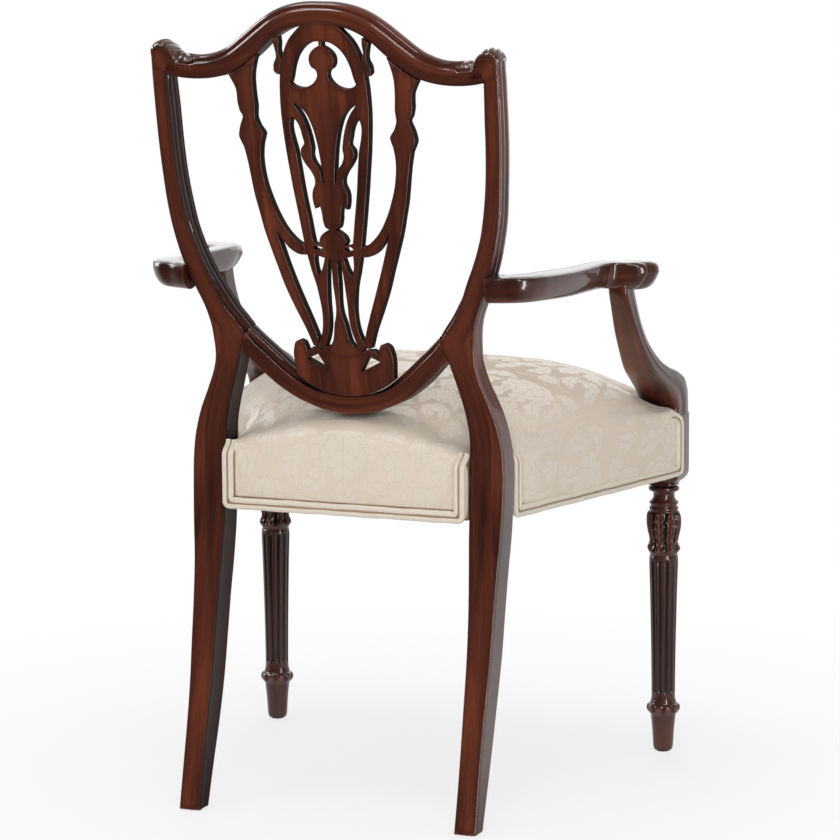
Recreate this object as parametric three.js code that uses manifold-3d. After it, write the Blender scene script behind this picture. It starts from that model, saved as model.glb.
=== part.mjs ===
// Armchair with a shield-shaped pierced back, swept arms, reeded front legs and a crowned seat.
// Lengths are in millimetres. +Z is up, the sitter faces -Y, +X is the left side named here.
// The origin is on the floor under the middle of the chair.

import * as THREE from 'three';
import { mergeVertices } from 'three/addons/utils/BufferGeometryUtils.js';
import Module from 'manifold-3d';

const wasm = await Module();
wasm.setup();

// Main sizes
const shareSpan = 500; // every outline share is a part of this length
const jointGap = 0.35; // clearance between neighbouring pieces
const boardThickness = 14; // pierced back
const backDepth = 34; // front to rear through the shield frame
const crestDepth = 31;

// Glides, front legs and the corner posts above them
const glideHeight = 2;
const glideRadius = 8;
const legRadius = 21.5; // widest turning of the front leg
const legSegments = 18;
const cornerDrop = 22; // how far a corner post reaches below the rails
const cornerEase = 3;
const easeShare = 0.25; // the most of a narrow face that its eased corner takes

// Seat frame and its upholstered faces
const railHeight = 67.7;
const sideRailWidth = 27;
const sideRailInset = 8; // from the outer side of a rear post
const sideRailReach = 23.5; // from the middle of a front leg out to the rail's face
const rearRailWidth = 22.5;
const rearRailProud = 2; // how far the rear rail stands behind the posts
const frontRailInset = 21; // from the front end of a side rail to the front rail
const frontRailReach = 18.5; // from the middle of a front leg forward to the rail's face
const frontBow = 21.2; // how far the middle of the front stands forward
const panelSkin = 6;
const sideSkinRear = 3.5;
const sideSkinFront = 9;
const panelDrop = 3; // how far the faces reach below the rails
const rearPanelRise = 11; // and the rear one above them
const dustThickness = 1.2;

// Corner blocks and their screws
const blockInset = 10; // from the bottom and the top of a rail
const frontBlockReach = 57.6; // along the front rail from its end
const frontBlockDepth = 54; // along the side rail from its end
const rearBlockReach = 46.8;
const rearBlockDepth = 50;
const screwRadius = 2.4;
const screwHeadRadius = 4.6;
const screwHeadHeight = 3;
const screwLength = 46;
const screwBoreClearance = 0.3;
const screwHeadShare = 0.4; // cylindrical part of the head
const screwTipShares = [0.86, 0.45]; // where the point starts, and its width at the end
const blockScrewShares = [0.566, 0.53, 0.574, 0.56]; // how far along its block each screw sits
const screwSeatShares = [0.62, 0.66, 0.6]; // part of a front, rear and side screw inside its block

// Seat board and cushion
const seatBoardThickness = 9.3;
const cushionCrown = 83; // rise of the crown over its flat bottom
const cushionLean = 36; // how far the crown sits forward of its bottom

// Welts
const weltHalf = 6.4; // half the height of the double cord
const weltRise = 4.6; // how far a cord stands off the panel
const weltInset = 8;
const weltCornerShare = 0.3; // how far a rounded corner of the cord is cut across
const weltTurnShare = 0.7;
const weltSteps = 10;

// Arms and dowels
const armThickness = 31;
const armDowelRadius = 5;
const armDowelDepth = 18;
const legDowelRadius = 8;
const legDowelDepth = 22;
const dowelClearance = 0.3;
const dowelSegments = 12;

// Heights and depths of the rear face of the back, low to high
const backHeightShares = [
  0.92, 1.02, 1.098, 1.2, 1.28, 1.36, 1.44, 1.52, 1.6, 1.68, 1.76, 1.82, 1.88, 1.96,
];
const backDepthShares = [
  0.35, 0.374, 0.392, 0.417, 0.434, 0.447, 0.458, 0.47, 0.481, 0.4926, 0.5046, 0.5144, 0.525, 0.538,
];

// Rear post: height, inner side, outer side, rear face, depth
const postShares = [
  [0, 0.324, 0.378, 0.530, 0.056],
  [0.1, 0.325, 0.3772, 0.508, 0.072],
  [0.2, 0.324, 0.377, 0.483, 0.084],
  [0.3, 0.3224, 0.3786, 0.458, 0.088],
  [0.4, 0.3216, 0.382, 0.436, 0.088],
  [0.5, 0.3192, 0.384, 0.417, 0.086],
  [0.6, 0.315, 0.387, 0.401, 0.086],
  [0.68, 0.312, 0.392, 0.391, 0.084],
  [0.76, 0.3112, 0.395, 0.383, 0.08],
  [0.84, 0.3104, 0.395, 0.378, 0.08],
  [0.88, 0.31, 0.392, 0.376, 0.078],
  [0.92, 0.3088, 0.3844, 0.3752, 0.078],
  [0.96, 0.302, 0.373, 0.3752, 0.078],
  [1.0, 0.292, 0.357, 0.3772, 0.078],
  [1.04, 0.28, 0.341, 0.381, 0.074],
  [1.08, 0.268, 0.3306, 0.387, 0.07],
  [1.098, 0.263, 0.329, 0.392, 0.068],
  [1.13, 0.2516, 0.33, 0.399, 0.068],
  [1.156, 0.2426, 0.332, 0.405, 0.068],
  [1.18, 0.259, 0.336, 0.412, 0.068],
  [1.2, 0.274, 0.341, 0.417, 0.068],
  [1.24, 0.298, 0.357, 0.4256, 0.068],
  [1.28, 0.32, 0.375, 0.434, 0.068],
  [1.32, 0.339, 0.389, 0.441, 0.069],
  [1.36, 0.354, 0.4, 0.447, 0.07],
  [1.4, 0.366, 0.409, 0.4526, 0.07],
  [1.44, 0.374, 0.4154, 0.458, 0.071],
  [1.52, 0.385, 0.4226, 0.47, 0.072],
  [1.6, 0.39, 0.4274, 0.481, 0.072],
  [1.68, 0.392, 0.4296, 0.4926, 0.072],
  [1.76, 0.3946, 0.4304, 0.5046, 0.07],
  [1.816, 0.3946, 0.4298, 0.5136, 0.068],
];

// Ear cap on a post: height, inner side, outer side, rear face, front face
const capShares = [
  [1.8167, 0.368, 0.4326, 0.516, 0.444],
  [1.824, 0.366, 0.4346, 0.518, 0.442],
  [1.832, 0.37, 0.432, 0.5166, 0.446],
  [1.84, 0.38, 0.424, 0.511, 0.456],
  [1.8436, 0.39, 0.414, 0.503, 0.468],
];

// Crest rail: distance from the middle, lower edge, upper edge
const crestShares = [
  [0, 1.888, 1.94],
  [0.04, 1.884, 1.939],
  [0.08, 1.874, 1.932],
  [0.12, 1.852, 1.917],
  [0.16, 1.817, 1.892],
  [0.2, 1.786, 1.861],
  [0.24, 1.765, 1.831],
  [0.28, 1.755, 1.814],
  [0.32, 1.752, 1.8086],
  [0.36, 1.754, 1.811],
  [0.3936, 1.76, 1.813],
];
const crestSectionShares = [
  [0, 0], [0, 0.52], [0.1, 0.6], [0.06, 0.76], [0.18, 0.93], [0.38, 1],
  [0.64, 1], [0.88, 0.9], [1, 0.68], [1, 0.06], [0.94, 0],
];

// Lower half of the shield frame: inner edge then outer edge, as distance and height
const rimShares = [
  [0.2416, 1.1556, 0.262, 1.0978],
  [0.22, 1.134, 0.24, 1.079],
  [0.196, 1.112, 0.216, 1.054],
  [0.17, 1.087, 0.188, 1.028],
  [0.144, 1.063, 0.158, 1.005],
  [0.12, 1.043, 0.128, 0.987],
  [0.096, 1.025, 0.098, 0.974],
  [0.072, 1.012, 0.07, 0.964],
  [0.048, 1.004, 0.044, 0.958],
  [0.024, 0.9996, 0.022, 0.955],
  [0.0004, 0.998, 0.0004, 0.954],
];
const rimSectionShares = [
  [1, 0], [0.24, 0], [0.1, 0.08], [0, 0.24], [0, 0.94], [0.06, 1], [0.94, 1], [1, 0.94],
];

// Pierced back. Each pair is a distance from the middle and a height over the splat's foot.
const splatFootShare = 0.94;
const lancetOuterShares = [
  [0.05, 0.9406], [0.076, 0.914], [0.092, 0.884], [0.102, 0.85], [0.108, 0.81], [0.11, 0.76],
  [0.109, 0.72], [0.106, 0.68], [0.102, 0.64], [0.097, 0.6], [0.092, 0.56], [0.086, 0.52],
  [0.08, 0.48], [0.074, 0.44], [0.067, 0.4], [0.058, 0.36], [0.05, 0.33], [0.044, 0.29],
  [0.042, 0.26], [0.044, 0.23], [0.05, 0.206], [0.056, 0.194], [0.061, 0.184],
];
const centreFootShares = [[0.051, 0.1734]];
const archHoleShares = [
  [0.004, 0.9076], [0.02, 0.906], [0.04, 0.896], [0.058, 0.876], [0.07, 0.85], [0.078, 0.82],
  [0.082, 0.809], [0.076, 0.804], [0.06, 0.799], [0.044, 0.8], [0.028, 0.807], [0.018, 0.817],
  [0.013, 0.83], [0.016, 0.84], [0.026, 0.847], [0.031, 0.859], [0.03, 0.874], [0.02, 0.888],
  [0.008, 0.896], [0.004, 0.898],
];
const urnHoleShares = [
  [0.079, 0.763], [0.064, 0.755], [0.047, 0.737], [0.035, 0.71], [0.025, 0.671], [0.019, 0.63],
  [0.015, 0.59], [0.0136, 0.574], [0.0164, 0.574], [0.019, 0.59], [0.022, 0.606], [0.034, 0.622],
  [0.04, 0.64], [0.038, 0.656], [0.04, 0.672], [0.044, 0.692], [0.052, 0.718], [0.064, 0.742],
  [0.076, 0.758],
];
const sideHoleShares = [
  [0.083, 0.73], [0.084, 0.728], [0.081, 0.69], [0.077, 0.64], [0.0724, 0.6], [0.068, 0.56],
  [0.062, 0.52], [0.056, 0.48], [0.051, 0.444], [0.049, 0.433], [0.04, 0.429], [0.03, 0.428],
  [0.034, 0.434], [0.031, 0.447], [0.018, 0.459], [0.009, 0.464], [0.016, 0.468], [0.022, 0.484],
  [0.024, 0.504], [0.028, 0.523], [0.04, 0.513], [0.044, 0.53], [0.043, 0.556], [0.036, 0.573],
  [0.036, 0.584], [0.044, 0.602], [0.056, 0.618], [0.066, 0.638], [0.066, 0.654], [0.057, 0.668],
  [0.06, 0.682], [0.064, 0.7], [0.071, 0.717],
];
const slotHoleShares = [[0.028, 0.421], [0.044, 0.4246], [0.05, 0.419], [0.034, 0.4124]];
const veeHoleShares = [[0.024, 0.396], [0.048, 0.403], [0.048, 0.38], [0.043, 0.352], [0.034, 0.366]];
const stemHoleShares = [
  [0.0084, 0.392], [0.015, 0.392], [0.019, 0.36], [0.022, 0.32], [0.024, 0.28], [0.0244, 0.25],
  [0.027, 0.226], [0.033, 0.202], [0.041, 0.182], [0.032, 0.181], [0.023, 0.193], [0.0176, 0.214],
  [0.0136, 0.238], [0.0088, 0.254], [0.008, 0.34],
];

const barOuterShares = [
  [0.236, 0.8244], [0.22, 0.792], [0.218, 0.76], [0.213, 0.738], [0.207, 0.727], [0.214, 0.709],
  [0.22, 0.68], [0.21, 0.656], [0.202, 0.62], [0.196, 0.58], [0.19, 0.54], [0.181, 0.5],
  [0.172, 0.46], [0.16, 0.42], [0.144, 0.37], [0.128, 0.32], [0.108, 0.27], [0.088, 0.224],
  [0.0728, 0.1806],
];
const barInnerShares = [
  [0.064, 0.1788], [0.0628, 0.1846], [0.0576, 0.195], [0.061, 0.208], [0.076, 0.254],
  [0.096, 0.31], [0.116, 0.37], [0.132, 0.424], [0.142, 0.46],
];
const swagLowerShares = [[0.128, 0.437], [0.112, 0.417], [0.094, 0.405], [0.081, 0.4016], [0.0692, 0.402]];
const swagUpperShares = [
  [0.0734, 0.428], [0.088, 0.432], [0.108, 0.45], [0.124, 0.472], [0.14, 0.504], [0.152, 0.536],
  [0.162, 0.57], [0.168, 0.61], [0.168, 0.64], [0.164, 0.666], [0.158, 0.688], [0.168, 0.704],
  [0.176, 0.726], [0.174, 0.75], [0.176, 0.78], [0.176, 0.82], [0.171, 0.846], [0.162, 0.8744],
];
const barTopShares = [[0.18, 0.859], [0.2, 0.8436], [0.22, 0.832]];
const leafShares = [
  [0.12, 0.9092], [0.115, 0.89], [0.113, 0.868], [0.12, 0.852], [0.121, 0.836], [0.112, 0.828],
  [0.1066, 0.828], [0.1044, 0.846], [0.1, 0.863], [0.105, 0.884], [0.103, 0.904], [0.104, 0.918],
];
const baseTopShares = [
  [0.052, 0.1722], [0.0606, 0.1762], [0.066, 0.1762], [0.074, 0.1776],
  [0.09, 0.166], [0.092, 0.176], [0.098, 0.19], [0.108, 0.194], [0.118, 0.188], [0.124, 0.172],
];
const baseFootShares = [
  [0.124, 0.1076], [0.12, 0.1044], [0.096, 0.0862], [0.072, 0.0732], [0.048, 0.0652], [0.024, 0.0606],
  [0, 0.059],
];
const baseHoleShares = [[0.092, 0.148], [0.064, 0.161], [0.042, 0.122]];

// Front leg turning: radius then height, foot to top, as parts of the widest radius and the leg top
const legTurningShares = [
  [0.55, 0], [0.58, 0.018], [0.63, 0.074], [0.715, 0.13], [0.755, 0.142], [0.815, 0.149],
  [0.93, 0.159], [0.93, 0.172], [0.79, 0.181], [0.725, 0.191], [0.7, 0.206], [0.69, 0.23],
  [0.725, 0.38], [0.78, 0.568], [0.837, 0.73], [0.82, 0.742], [0.86, 0.749], [0.93, 0.758],
  [0.905, 0.768], [0.8, 0.783], [0.83, 0.8], [0.93, 0.83], [1, 0.86], [0.965, 0.877],
  [0.815, 0.894], [0.79, 0.902], [0.845, 0.909], [0.835, 0.918], [0.78, 0.927], [0.835, 0.936],
  [0.765, 0.944], [0.66, 0.959], [0.705, 0.974], [0.705, 0.999],
];

// Arm in plan: outer edge then inner edge, and the height of the top face
const armShares = [
  [0.424, 0.442, 0.408, 0.372, 1.3],
  [0.452, 0.435, 0.424, 0.352, 1.302],
  [0.476, 0.412, 0.436, 0.324, 1.302],
  [0.492, 0.376, 0.444, 0.286, 1.302],
  [0.502, 0.32, 0.45, 0.236, 1.3],
  [0.508, 0.256, 0.454, 0.184, 1.297],
  [0.512, 0.19, 0.457, 0.132, 1.294],
  [0.513, 0.12, 0.459, 0.08, 1.292],
  [0.512, 0.05, 0.461, 0.02, 1.289],
  [0.514, -0.012, 0.463, -0.024, 1.287],
  [0.526, -0.044, 0.466, -0.054, 1.286],
  [0.562, -0.058, 0.468, -0.084, 1.285],
  [0.594, -0.076, 0.472, -0.11, 1.284],
  [0.61, -0.106, 0.48, -0.136, 1.283],
  [0.606, -0.136, 0.496, -0.158, 1.282],
  [0.584, -0.16, 0.52, -0.172, 1.281],
  [0.56, -0.17, 0.54, -0.174, 1.28],
];
const [armEndTopShare, armEndOuterShare, armEndInnerShare] = [1.3, 0.424, 0.376];
const armSectionShares = [
  [0, 0], [0, -0.34], [0.06, -0.66], [0.2, -0.92], [0.38, -1], [0.62, -1],
  [0.8, -0.92], [0.94, -0.66], [1, -0.34], [1, 0],
];

// Arm support in side view: front edge, rear edge, and the inner and outer sides
const supportShares = [
  [-0.122, 1.24, -0.06, 1.24, 0.502, 0.546],
  [-0.124, 1.216, -0.064, 1.214, 0.502, 0.546],
  [-0.132, 1.176, -0.086, 1.168, 0.501, 0.548],
  [-0.152, 1.126, -0.12, 1.112, 0.498, 0.551],
  [-0.194, 1.072, -0.168, 1.052, 0.494, 0.556],
  [-0.258, 1.025, -0.224, 0.998, 0.488, 0.564],
  [-0.328, 0.996, -0.292, 0.958, 0.482, 0.572],
  [-0.406, 0.974, -0.346, 0.924, 0.477, 0.577],
  [-0.45, 0.952, -0.371, 0.9, 0.476, 0.578],
  [-0.472, 0.922, -0.379, 0.88, 0.476, 0.578],
  [-0.479, 0.8608, -0.379, 0.8608, 0.476, 0.578],
];
const supportSectionShares = [
  [0, 0.12], [0.12, 0], [0.88, 0], [1, 0.12], [1, 0.88], [0.88, 1], [0.12, 1], [0, 0.88],
];

// Cushion: outline in plan, and rings from the flat bottom to the crown
const cushionPlanShares = [
  [0, 0.3802], [0.14, 0.38], [0.26, 0.376], [0.296, 0.356], [0.3, 0.31], [0.31, 0.292], [0.382, 0.292],
  [0.4, 0.272], [0.444, 0.136], [0.486, 0], [0.528, -0.14], [0.568, -0.28], [0.59, -0.352],
  [0.58, -0.372], [0.53, -0.374], [0.474, -0.376], [0.47, -0.42], [0.46, -0.47], [0.4, -0.484],
  [0.3, -0.502], [0.2, -0.518], [0.1, -0.526], [0, -0.528],
];
const cushionMiddleShare = -0.04;
const cushionRingShares = [
  [0.996, 0], [1, 0.1], [0.975, 0.24], [0.915, 0.44], [0.82, 0.64], [0.69, 0.81],
  [0.52, 0.92], [0.33, 0.98], [0.14, 1],
];

// Double cord across the panel face and off it
const weltSectionShares = [
  [-1, 0.07], [-0.98, 0.58], [-0.74, 0.94], [-0.5, 1], [-0.26, 0.92], [0, 0.5],
  [0.26, 0.92], [0.5, 1], [0.74, 0.94], [0.98, 0.58], [1, 0.07],
];

// Finishes
const mahogany = { color: 0x4a1f14, roughness: 0.28, metalness: 0 };
const darkMahogany = { color: 0x3a1710, roughness: 0.3, metalness: 0 };
const frameWood = { color: 0xb08a5a, roughness: 0.7, metalness: 0 };
const plywood = { color: 0xc7a878, roughness: 0.75, metalness: 0 };
const damask = { color: 0xcdbfae, roughness: 0.85, metalness: 0 };
const weltCloth = { color: 0xc8b9a4, roughness: 0.85, metalness: 0 };
const blackCloth = { color: 0x1c1b1b, roughness: 0.95, metalness: 0 };
const steel = { color: 0x9a9a9c, roughness: 0.35, metalness: 1 };
const nylon = { color: 0x2b2624, roughness: 0.6, metalness: 0 };

const chair = new THREE.Group();
chair.name = 'shield_back_chair';

// Shared helpers
const v3 = (x, y, z) => new THREE.Vector3(x, y, z);
const v2 = (x, y) => new THREE.Vector2(x, y);
const span = (share) => share * shareSpan;

function between(list, values, at) {
  let i = 0;
  while (i + 2 < list.length && at > list[i + 1]) i += 1;
  const t = (at - list[i]) / (list[i + 1] - list[i]);
  return values[i] + t * (values[i + 1] - values[i]);
}

// Rear face of the back at a height
function backLine(z) {
  return span(between(backHeightShares, backDepthShares, z / shareSpan));
}

// One column of the rear post's outline at a height
function postColumn(column, z) {
  const heights = postShares.map((row) => row[0]);
  const values = postShares.map((row) => row[column]);
  return span(between(heights, values, z / shareSpan));
}

const postInner = (z) => postColumn(1, z);
const postOuter = (z) => postColumn(2, z);
const postRear = (z) => postColumn(3, z);
const postFront = (z) => postColumn(3, z) - postColumn(4, z);

// The foot of an arm support sets the corner post and the front leg under it
const supportFoot = supportShares[supportShares.length - 1];
const [footFront, footLevel, footRear, , footInner, footOuter] = supportFoot.map(span);
const frontLegX = (footInner + footOuter) / 2;
const frontLegY = (footFront + footRear) / 2;
const cornerWidth = footOuter - footInner;
const cornerDepth = footRear - footFront;

// Levels of the seat, top down
const cushionBottom = footLevel;
const cornerTop = footLevel - jointGap;
const railTop = cornerTop - jointGap;
const railBottom = railTop - railHeight;
const frontLegTop = railBottom - cornerDrop;
const panelTop = cornerTop;
const panelBottom = railBottom - panelDrop;
const rearPanelTop = cornerTop + rearPanelRise;
const blockBottom = railBottom + blockInset;
const blockTop = railTop - blockInset;
const seatBoardBottom = railTop - seatBoardThickness;

// Plan of the seat frame between the posts
const railRearX = postOuter(railTop) - sideRailInset; // outer face of a side rail at its rear end
const railFrontX = frontLegX + sideRailReach;
const sideRearX = railRearX + sideSkinRear; // outer face of a side panel at its rear end
const sideFrontX = railFrontX + sideSkinFront;
const railRearY = postFront(railTop) - jointGap;
const railFrontY = footRear + jointGap;
const rearRailOuter = postRear(railTop) + rearRailProud;
const rearRailY = rearRailOuter - rearRailWidth; // inner face of the rear rail
const rearPanelOuter = rearRailOuter + panelSkin;
const rearRailHalf = postInner(rearPanelTop) - jointGap;
const frontRailY = railFrontY - frontRailInset; // inner face of the front rail
const frontHalf = footInner - jointGap; // half width between the corner posts
const frontSideY = frontLegY - frontRailReach; // outer face of the front rail beside a corner post

function signedVolume(points, faces) {
  let total = 0;
  for (let i = 0; i < faces.length; i += 3) {
    const [a, b, c] = [points[faces[i]], points[faces[i + 1]], points[faces[i + 2]]];
    total += a.dot(b.clone().cross(c));
  }
  return total;
}

// Closed body from points and triangles, always facing out
function body(points, faces) {
  const turned = signedVolume(points, faces) < 0;
  const list = [];
  for (let i = 0; i < faces.length; i += 3) {
    const [a, b, c] = [faces[i], faces[i + 1], faces[i + 2]];
    list.push(...(turned ? [a, c, b] : [a, b, c]));
  }
  const geometry = new THREE.BufferGeometry();
  const flat = points.flatMap((p) => [p.x, p.y, p.z]);
  geometry.setAttribute('position', new THREE.Float32BufferAttribute(flat, 3));
  geometry.setIndex(list);
  geometry.computeVertexNormals();
  return geometry;
}

// Body through a row of rings; the section says how the end rings are filled
function loft(rings, section) {
  const n = section.length;
  const faces = [];
  for (let r = 0; r + 1 < rings.length; r += 1) {
    for (let i = 0; i < n; i += 1) {
      const a = r * n + i;
      const b = r * n + ((i + 1) % n);
      faces.push(a, b, b + n, a, b + n, a + n);
    }
  }
  const last = (rings.length - 1) * n;
  const fill = THREE.ShapeUtils.triangulateShape(section, []);
  const first = THREE.ShapeUtils.isClockWise(section);
  for (const [a, b, c] of fill) {
    faces.push(...(first ? [a, b, c] : [a, c, b]));
    faces.push(...(first ? [last + a, last + c, last + b] : [last + a, last + b, last + c]));
  }
  return body(rings.flat(), faces);
}

// Section filled the other way when the rings run the other way
function loftEither(rings, section) {
  const n = section.length;
  const a = rings[0][0].clone();
  const side = rings[0][1].clone().sub(a);
  const along = rings[1][0].clone().sub(a);
  const middle = rings[0].reduce((sum, p) => sum.add(p), v3(0, 0, 0)).divideScalar(n);
  const out = side.cross(along).dot(a.clone().sub(middle));
  const same = (out > 0) !== THREE.ShapeUtils.isClockWise(section);
  return same ? loft(rings, section) : loft([...rings].reverse(), section);
}

function prism(plan, bottom, top) {
  const shape = new THREE.Shape(plan);
  const geometry = new THREE.ExtrudeGeometry(shape, { depth: top - bottom, bevelEnabled: false });
  geometry.translate(0, 0, bottom);
  return geometry;
}

// Pierced flat outline stood upright and leaned to the line of the back
function backBoard(outline, holes) {
  const whole = prism(outline, 0, boardThickness);
  const cutters = holes.map((hole) => prism(hole, -boardThickness, boardThickness * 2));
  const geometry = cutters.length > 0 ? bored(whole, cutters) : whole;
  geometry.rotateX(Math.PI / 2);
  const position = geometry.getAttribute('position');
  for (let i = 0; i < position.count; i += 1) {
    const z = position.getZ(i);
    position.setY(i, position.getY(i) + backLine(z));
  }
  return geometry;
}

const boardPoint = ([x, z]) => v2(span(x), span(splatFootShare + z));
const boardPoints = (shares) => shares.map(boardPoint);
const flipped = (points) => points.map((p) => v2(-p.x, p.y)).reverse();
const mirrorPlan = (half) => [...half, ...flipped(half)];

// Smooth run through hand-set points
function run(points, perPoint) {
  return new THREE.SplineCurve(points).getPoints((points.length - 1) * perPoint);
}

function mirrored(geometry) {
  const copy = geometry.clone();
  copy.scale(-1, 1, 1);
  const index = copy.index ? Array.from(copy.index.array) : null;
  if (!index) {
    const position = copy.getAttribute('position');
    const order = Array.from({ length: position.count }, (unused, i) => i);
    copy.setIndex(order);
  }
  const turned = Array.from(copy.index.array);
  for (let i = 0; i < turned.length; i += 3) {
    [turned[i + 1], turned[i + 2]] = [turned[i + 2], turned[i + 1]];
  }
  copy.setIndex(turned);
  copy.computeVertexNormals();
  return copy;
}

function toManifold(geometry) {
  const bare = geometry.clone();
  bare.deleteAttribute('normal');
  bare.deleteAttribute('uv');
  const merged = mergeVertices(bare);
  const vertProperties = new Float32Array(merged.getAttribute('position').array);
  const triVerts = new Uint32Array(merged.index.array);
  return new wasm.Manifold(new wasm.Mesh({ numProp: 3, vertProperties, triVerts }));
}

function fromManifold(solid) {
  const mesh = solid.getMesh();
  const geometry = new THREE.BufferGeometry();
  const points = new THREE.Float32BufferAttribute(Array.from(mesh.vertProperties), 3);
  geometry.setAttribute('position', points);
  geometry.setIndex(Array.from(mesh.triVerts));
  geometry.computeVertexNormals();
  return geometry;
}

function bored(geometry, cutters) {
  let solid = toManifold(geometry);
  for (const cutter of cutters) solid = solid.subtract(toManifold(cutter));
  return fromManifold(solid);
}

function turned(profile, segments) {
  const points = [v2(0, profile[0].y), ...profile, v2(0, profile[profile.length - 1].y)];
  const geometry = new THREE.LatheGeometry(points, segments);
  geometry.rotateX(Math.PI / 2);
  return geometry;
}

function pin(radius, length, segments) {
  return turned([v2(radius, 0), v2(radius, length)], segments);
}

function add(name, geometry, finish) {
  const material = new THREE.MeshStandardMaterial(finish);
  const mesh = new THREE.Mesh(geometry, material);
  mesh.name = name;
  chair.add(mesh);
}

function addPair(part, geometry, finish) {
  add(`left_${part}`, geometry, finish);
  add(`right_${part}`, mirrored(geometry), finish);
}

// Rear posts
function postRing([height, inner, outer, rear, depth]) {
  const [a, b, back, z] = [span(inner), span(outer), span(rear), span(height)];
  const front = back - span(depth);
  const ease = Math.min(cornerEase, (b - a) * easeShare);
  return [
    v3(a + ease, back, z), v3(b - ease, back, z), v3(b, back - ease, z), v3(b, front + ease, z),
    v3(b - ease, front, z), v3(a + ease, front, z), v3(a, front + ease, z), v3(a, back - ease, z),
  ];
}

function rearPost() {
  const rings = postShares.map(postRing);
  rings[0].forEach((p) => p.setZ(glideHeight));
  const section = rings[0].map((p) => v2(p.x, p.y));
  return loftEither(rings, section);
}

// Carved caps over the tops of the posts
function capRing([height, inner, outer, rear, front]) {
  const [a, b, back, face, z] = [inner, outer, rear, front, height].map(span);
  const e = cornerEase;
  return [
    v3(a + e, back, z), v3(b - e, back, z), v3(b, back - e, z), v3(b, face + e, z),
    v3(b - e, face, z), v3(a + e, face, z), v3(a, face + e, z), v3(a, back - e, z),
  ];
}

function earCap() {
  const rings = capShares.map(capRing);
  return loftEither(rings, rings[0].map((p) => v2(p.x, p.y)));
}

// Crest rail
function crestRing(x, low, high) {
  return crestSectionShares.map(([depth, rise]) => {
    const z = low + rise * (high - low);
    return v3(x, backLine(z) - depth * crestDepth, z);
  });
}

function crestRail() {
  const half = crestShares.map(([x, low, high]) => [span(x), span(low), span(high)]);
  const other = half.slice(1).map(([x, low, high]) => [-x, low, high]).reverse();
  const rings = [...other, ...half].map(([x, low, high]) => crestRing(x, low, high));
  const section = crestSectionShares.map(([depth, rise]) => v2(depth, rise));
  return loftEither(rings, section);
}

// Lower half of the shield frame
function rimRing([innerX, innerZ, outerX, outerZ]) {
  return rimSectionShares.map(([across, depth]) => {
    const x = span(innerX + across * (outerX - innerX));
    const z = span(innerZ + across * (outerZ - innerZ));
    return v3(x, backLine(z) - depth * backDepth, z);
  });
}

function shieldRim() {
  const rings = rimShares.map(rimRing);
  return loftEither(rings, rimSectionShares.map(([across, depth]) => v2(across, depth)));
}

// Middle of the pierced back: lancet frame, urn, collar, stem and flame
function splatCentre() {
  const outer = run(boardPoints(lancetOuterShares), 2);
  const half = [...outer, ...boardPoints(centreFootShares)];
  const outline = [...half, ...flipped(half)];
  const holes = [];
  const list = [archHoleShares, urnHoleShares, sideHoleShares, slotHoleShares];
  for (const shares of [...list, veeHoleShares, stemHoleShares]) {
    const points = boardPoints(shares);
    holes.push(points, flipped(points));
  }
  return backBoard(outline, holes);
}

// Outer bar of the pierced back with its swag
function splatBar() {
  const outer = run(boardPoints(barOuterShares), 2);
  const inner = run(boardPoints(barInnerShares), 1);
  const lower = run(boardPoints(swagLowerShares), 2);
  const upper = run(boardPoints(swagUpperShares), 2);
  return backBoard([...outer, ...inner, ...lower, ...upper, ...boardPoints(barTopShares)], []);
}

function splatBase() {
  const half = [...boardPoints(baseTopShares), ...boardPoints(baseFootShares)];
  const outline = [...half, ...flipped(half).slice(1)];
  const hole = boardPoints(baseHoleShares);
  return backBoard(outline, [hole, flipped(hole)]);
}

// Arms
const armSeat = span(armShares[9][4]) - armThickness;
const dowelX = frontLegX - jointGap * 2;
const dowelY = span(-0.094);

function armRing([outerX, outerY, innerX, innerY, top]) {
  return armSectionShares.map(([across, drop]) => v3(
    span(outerX + across * (innerX - outerX)),
    span(outerY + across * (innerY - outerY)),
    span(top) + drop * armThickness,
  ));
}

// End of the arm inside the post, before the post is cut out of it
function armEndRing() {
  return armSectionShares.map(([across, drop]) => {
    const z = span(armEndTopShare) + drop * armThickness;
    const y = span(armEndOuterShare + across * (armEndInnerShare - armEndOuterShare));
    return v3(postOuter(z) - cornerEase, y, z);
  });
}

function armWhole() {
  const rings = [armEndRing(), ...armShares.map(armRing)];
  const whole = loftEither(rings, armSectionShares.map(([across, drop]) => v2(across, drop)));
  const post = rearPost();
  post.translate(jointGap, 0, 0);
  return bored(whole, [post]);
}

// Hole for the dowel between the arm and its support
function armBore() {
  const bore = pin(armDowelRadius + dowelClearance, armDowelDepth * 2, dowelSegments);
  bore.translate(dowelX, dowelY, armSeat - armDowelDepth);
  return bore;
}

function supportRing([frontY, frontZ, rearY, rearZ, inner, outer]) {
  return supportSectionShares.map(([across, along]) => v3(
    span(inner + across * (outer - inner)),
    span(frontY + along * (rearY - frontY)),
    span(frontZ + along * (rearZ - frontZ)),
  ));
}

const supportPlan = supportSectionShares.map(([across, along]) => v2(across, along));

function armSupport() {
  const rings = supportShares.map(supportRing);
  const lowered = armWhole();
  lowered.translate(0, 0, -jointGap);
  return bored(loftEither(rings, supportPlan), [lowered, armBore()]);
}

function armDowel() {
  const length = armDowelDepth * 2 - dowelClearance * 2;
  const dowel = pin(armDowelRadius, length, dowelSegments);
  dowel.translate(dowelX, dowelY, armSeat - armDowelDepth + dowelClearance);
  return dowel;
}

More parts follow.
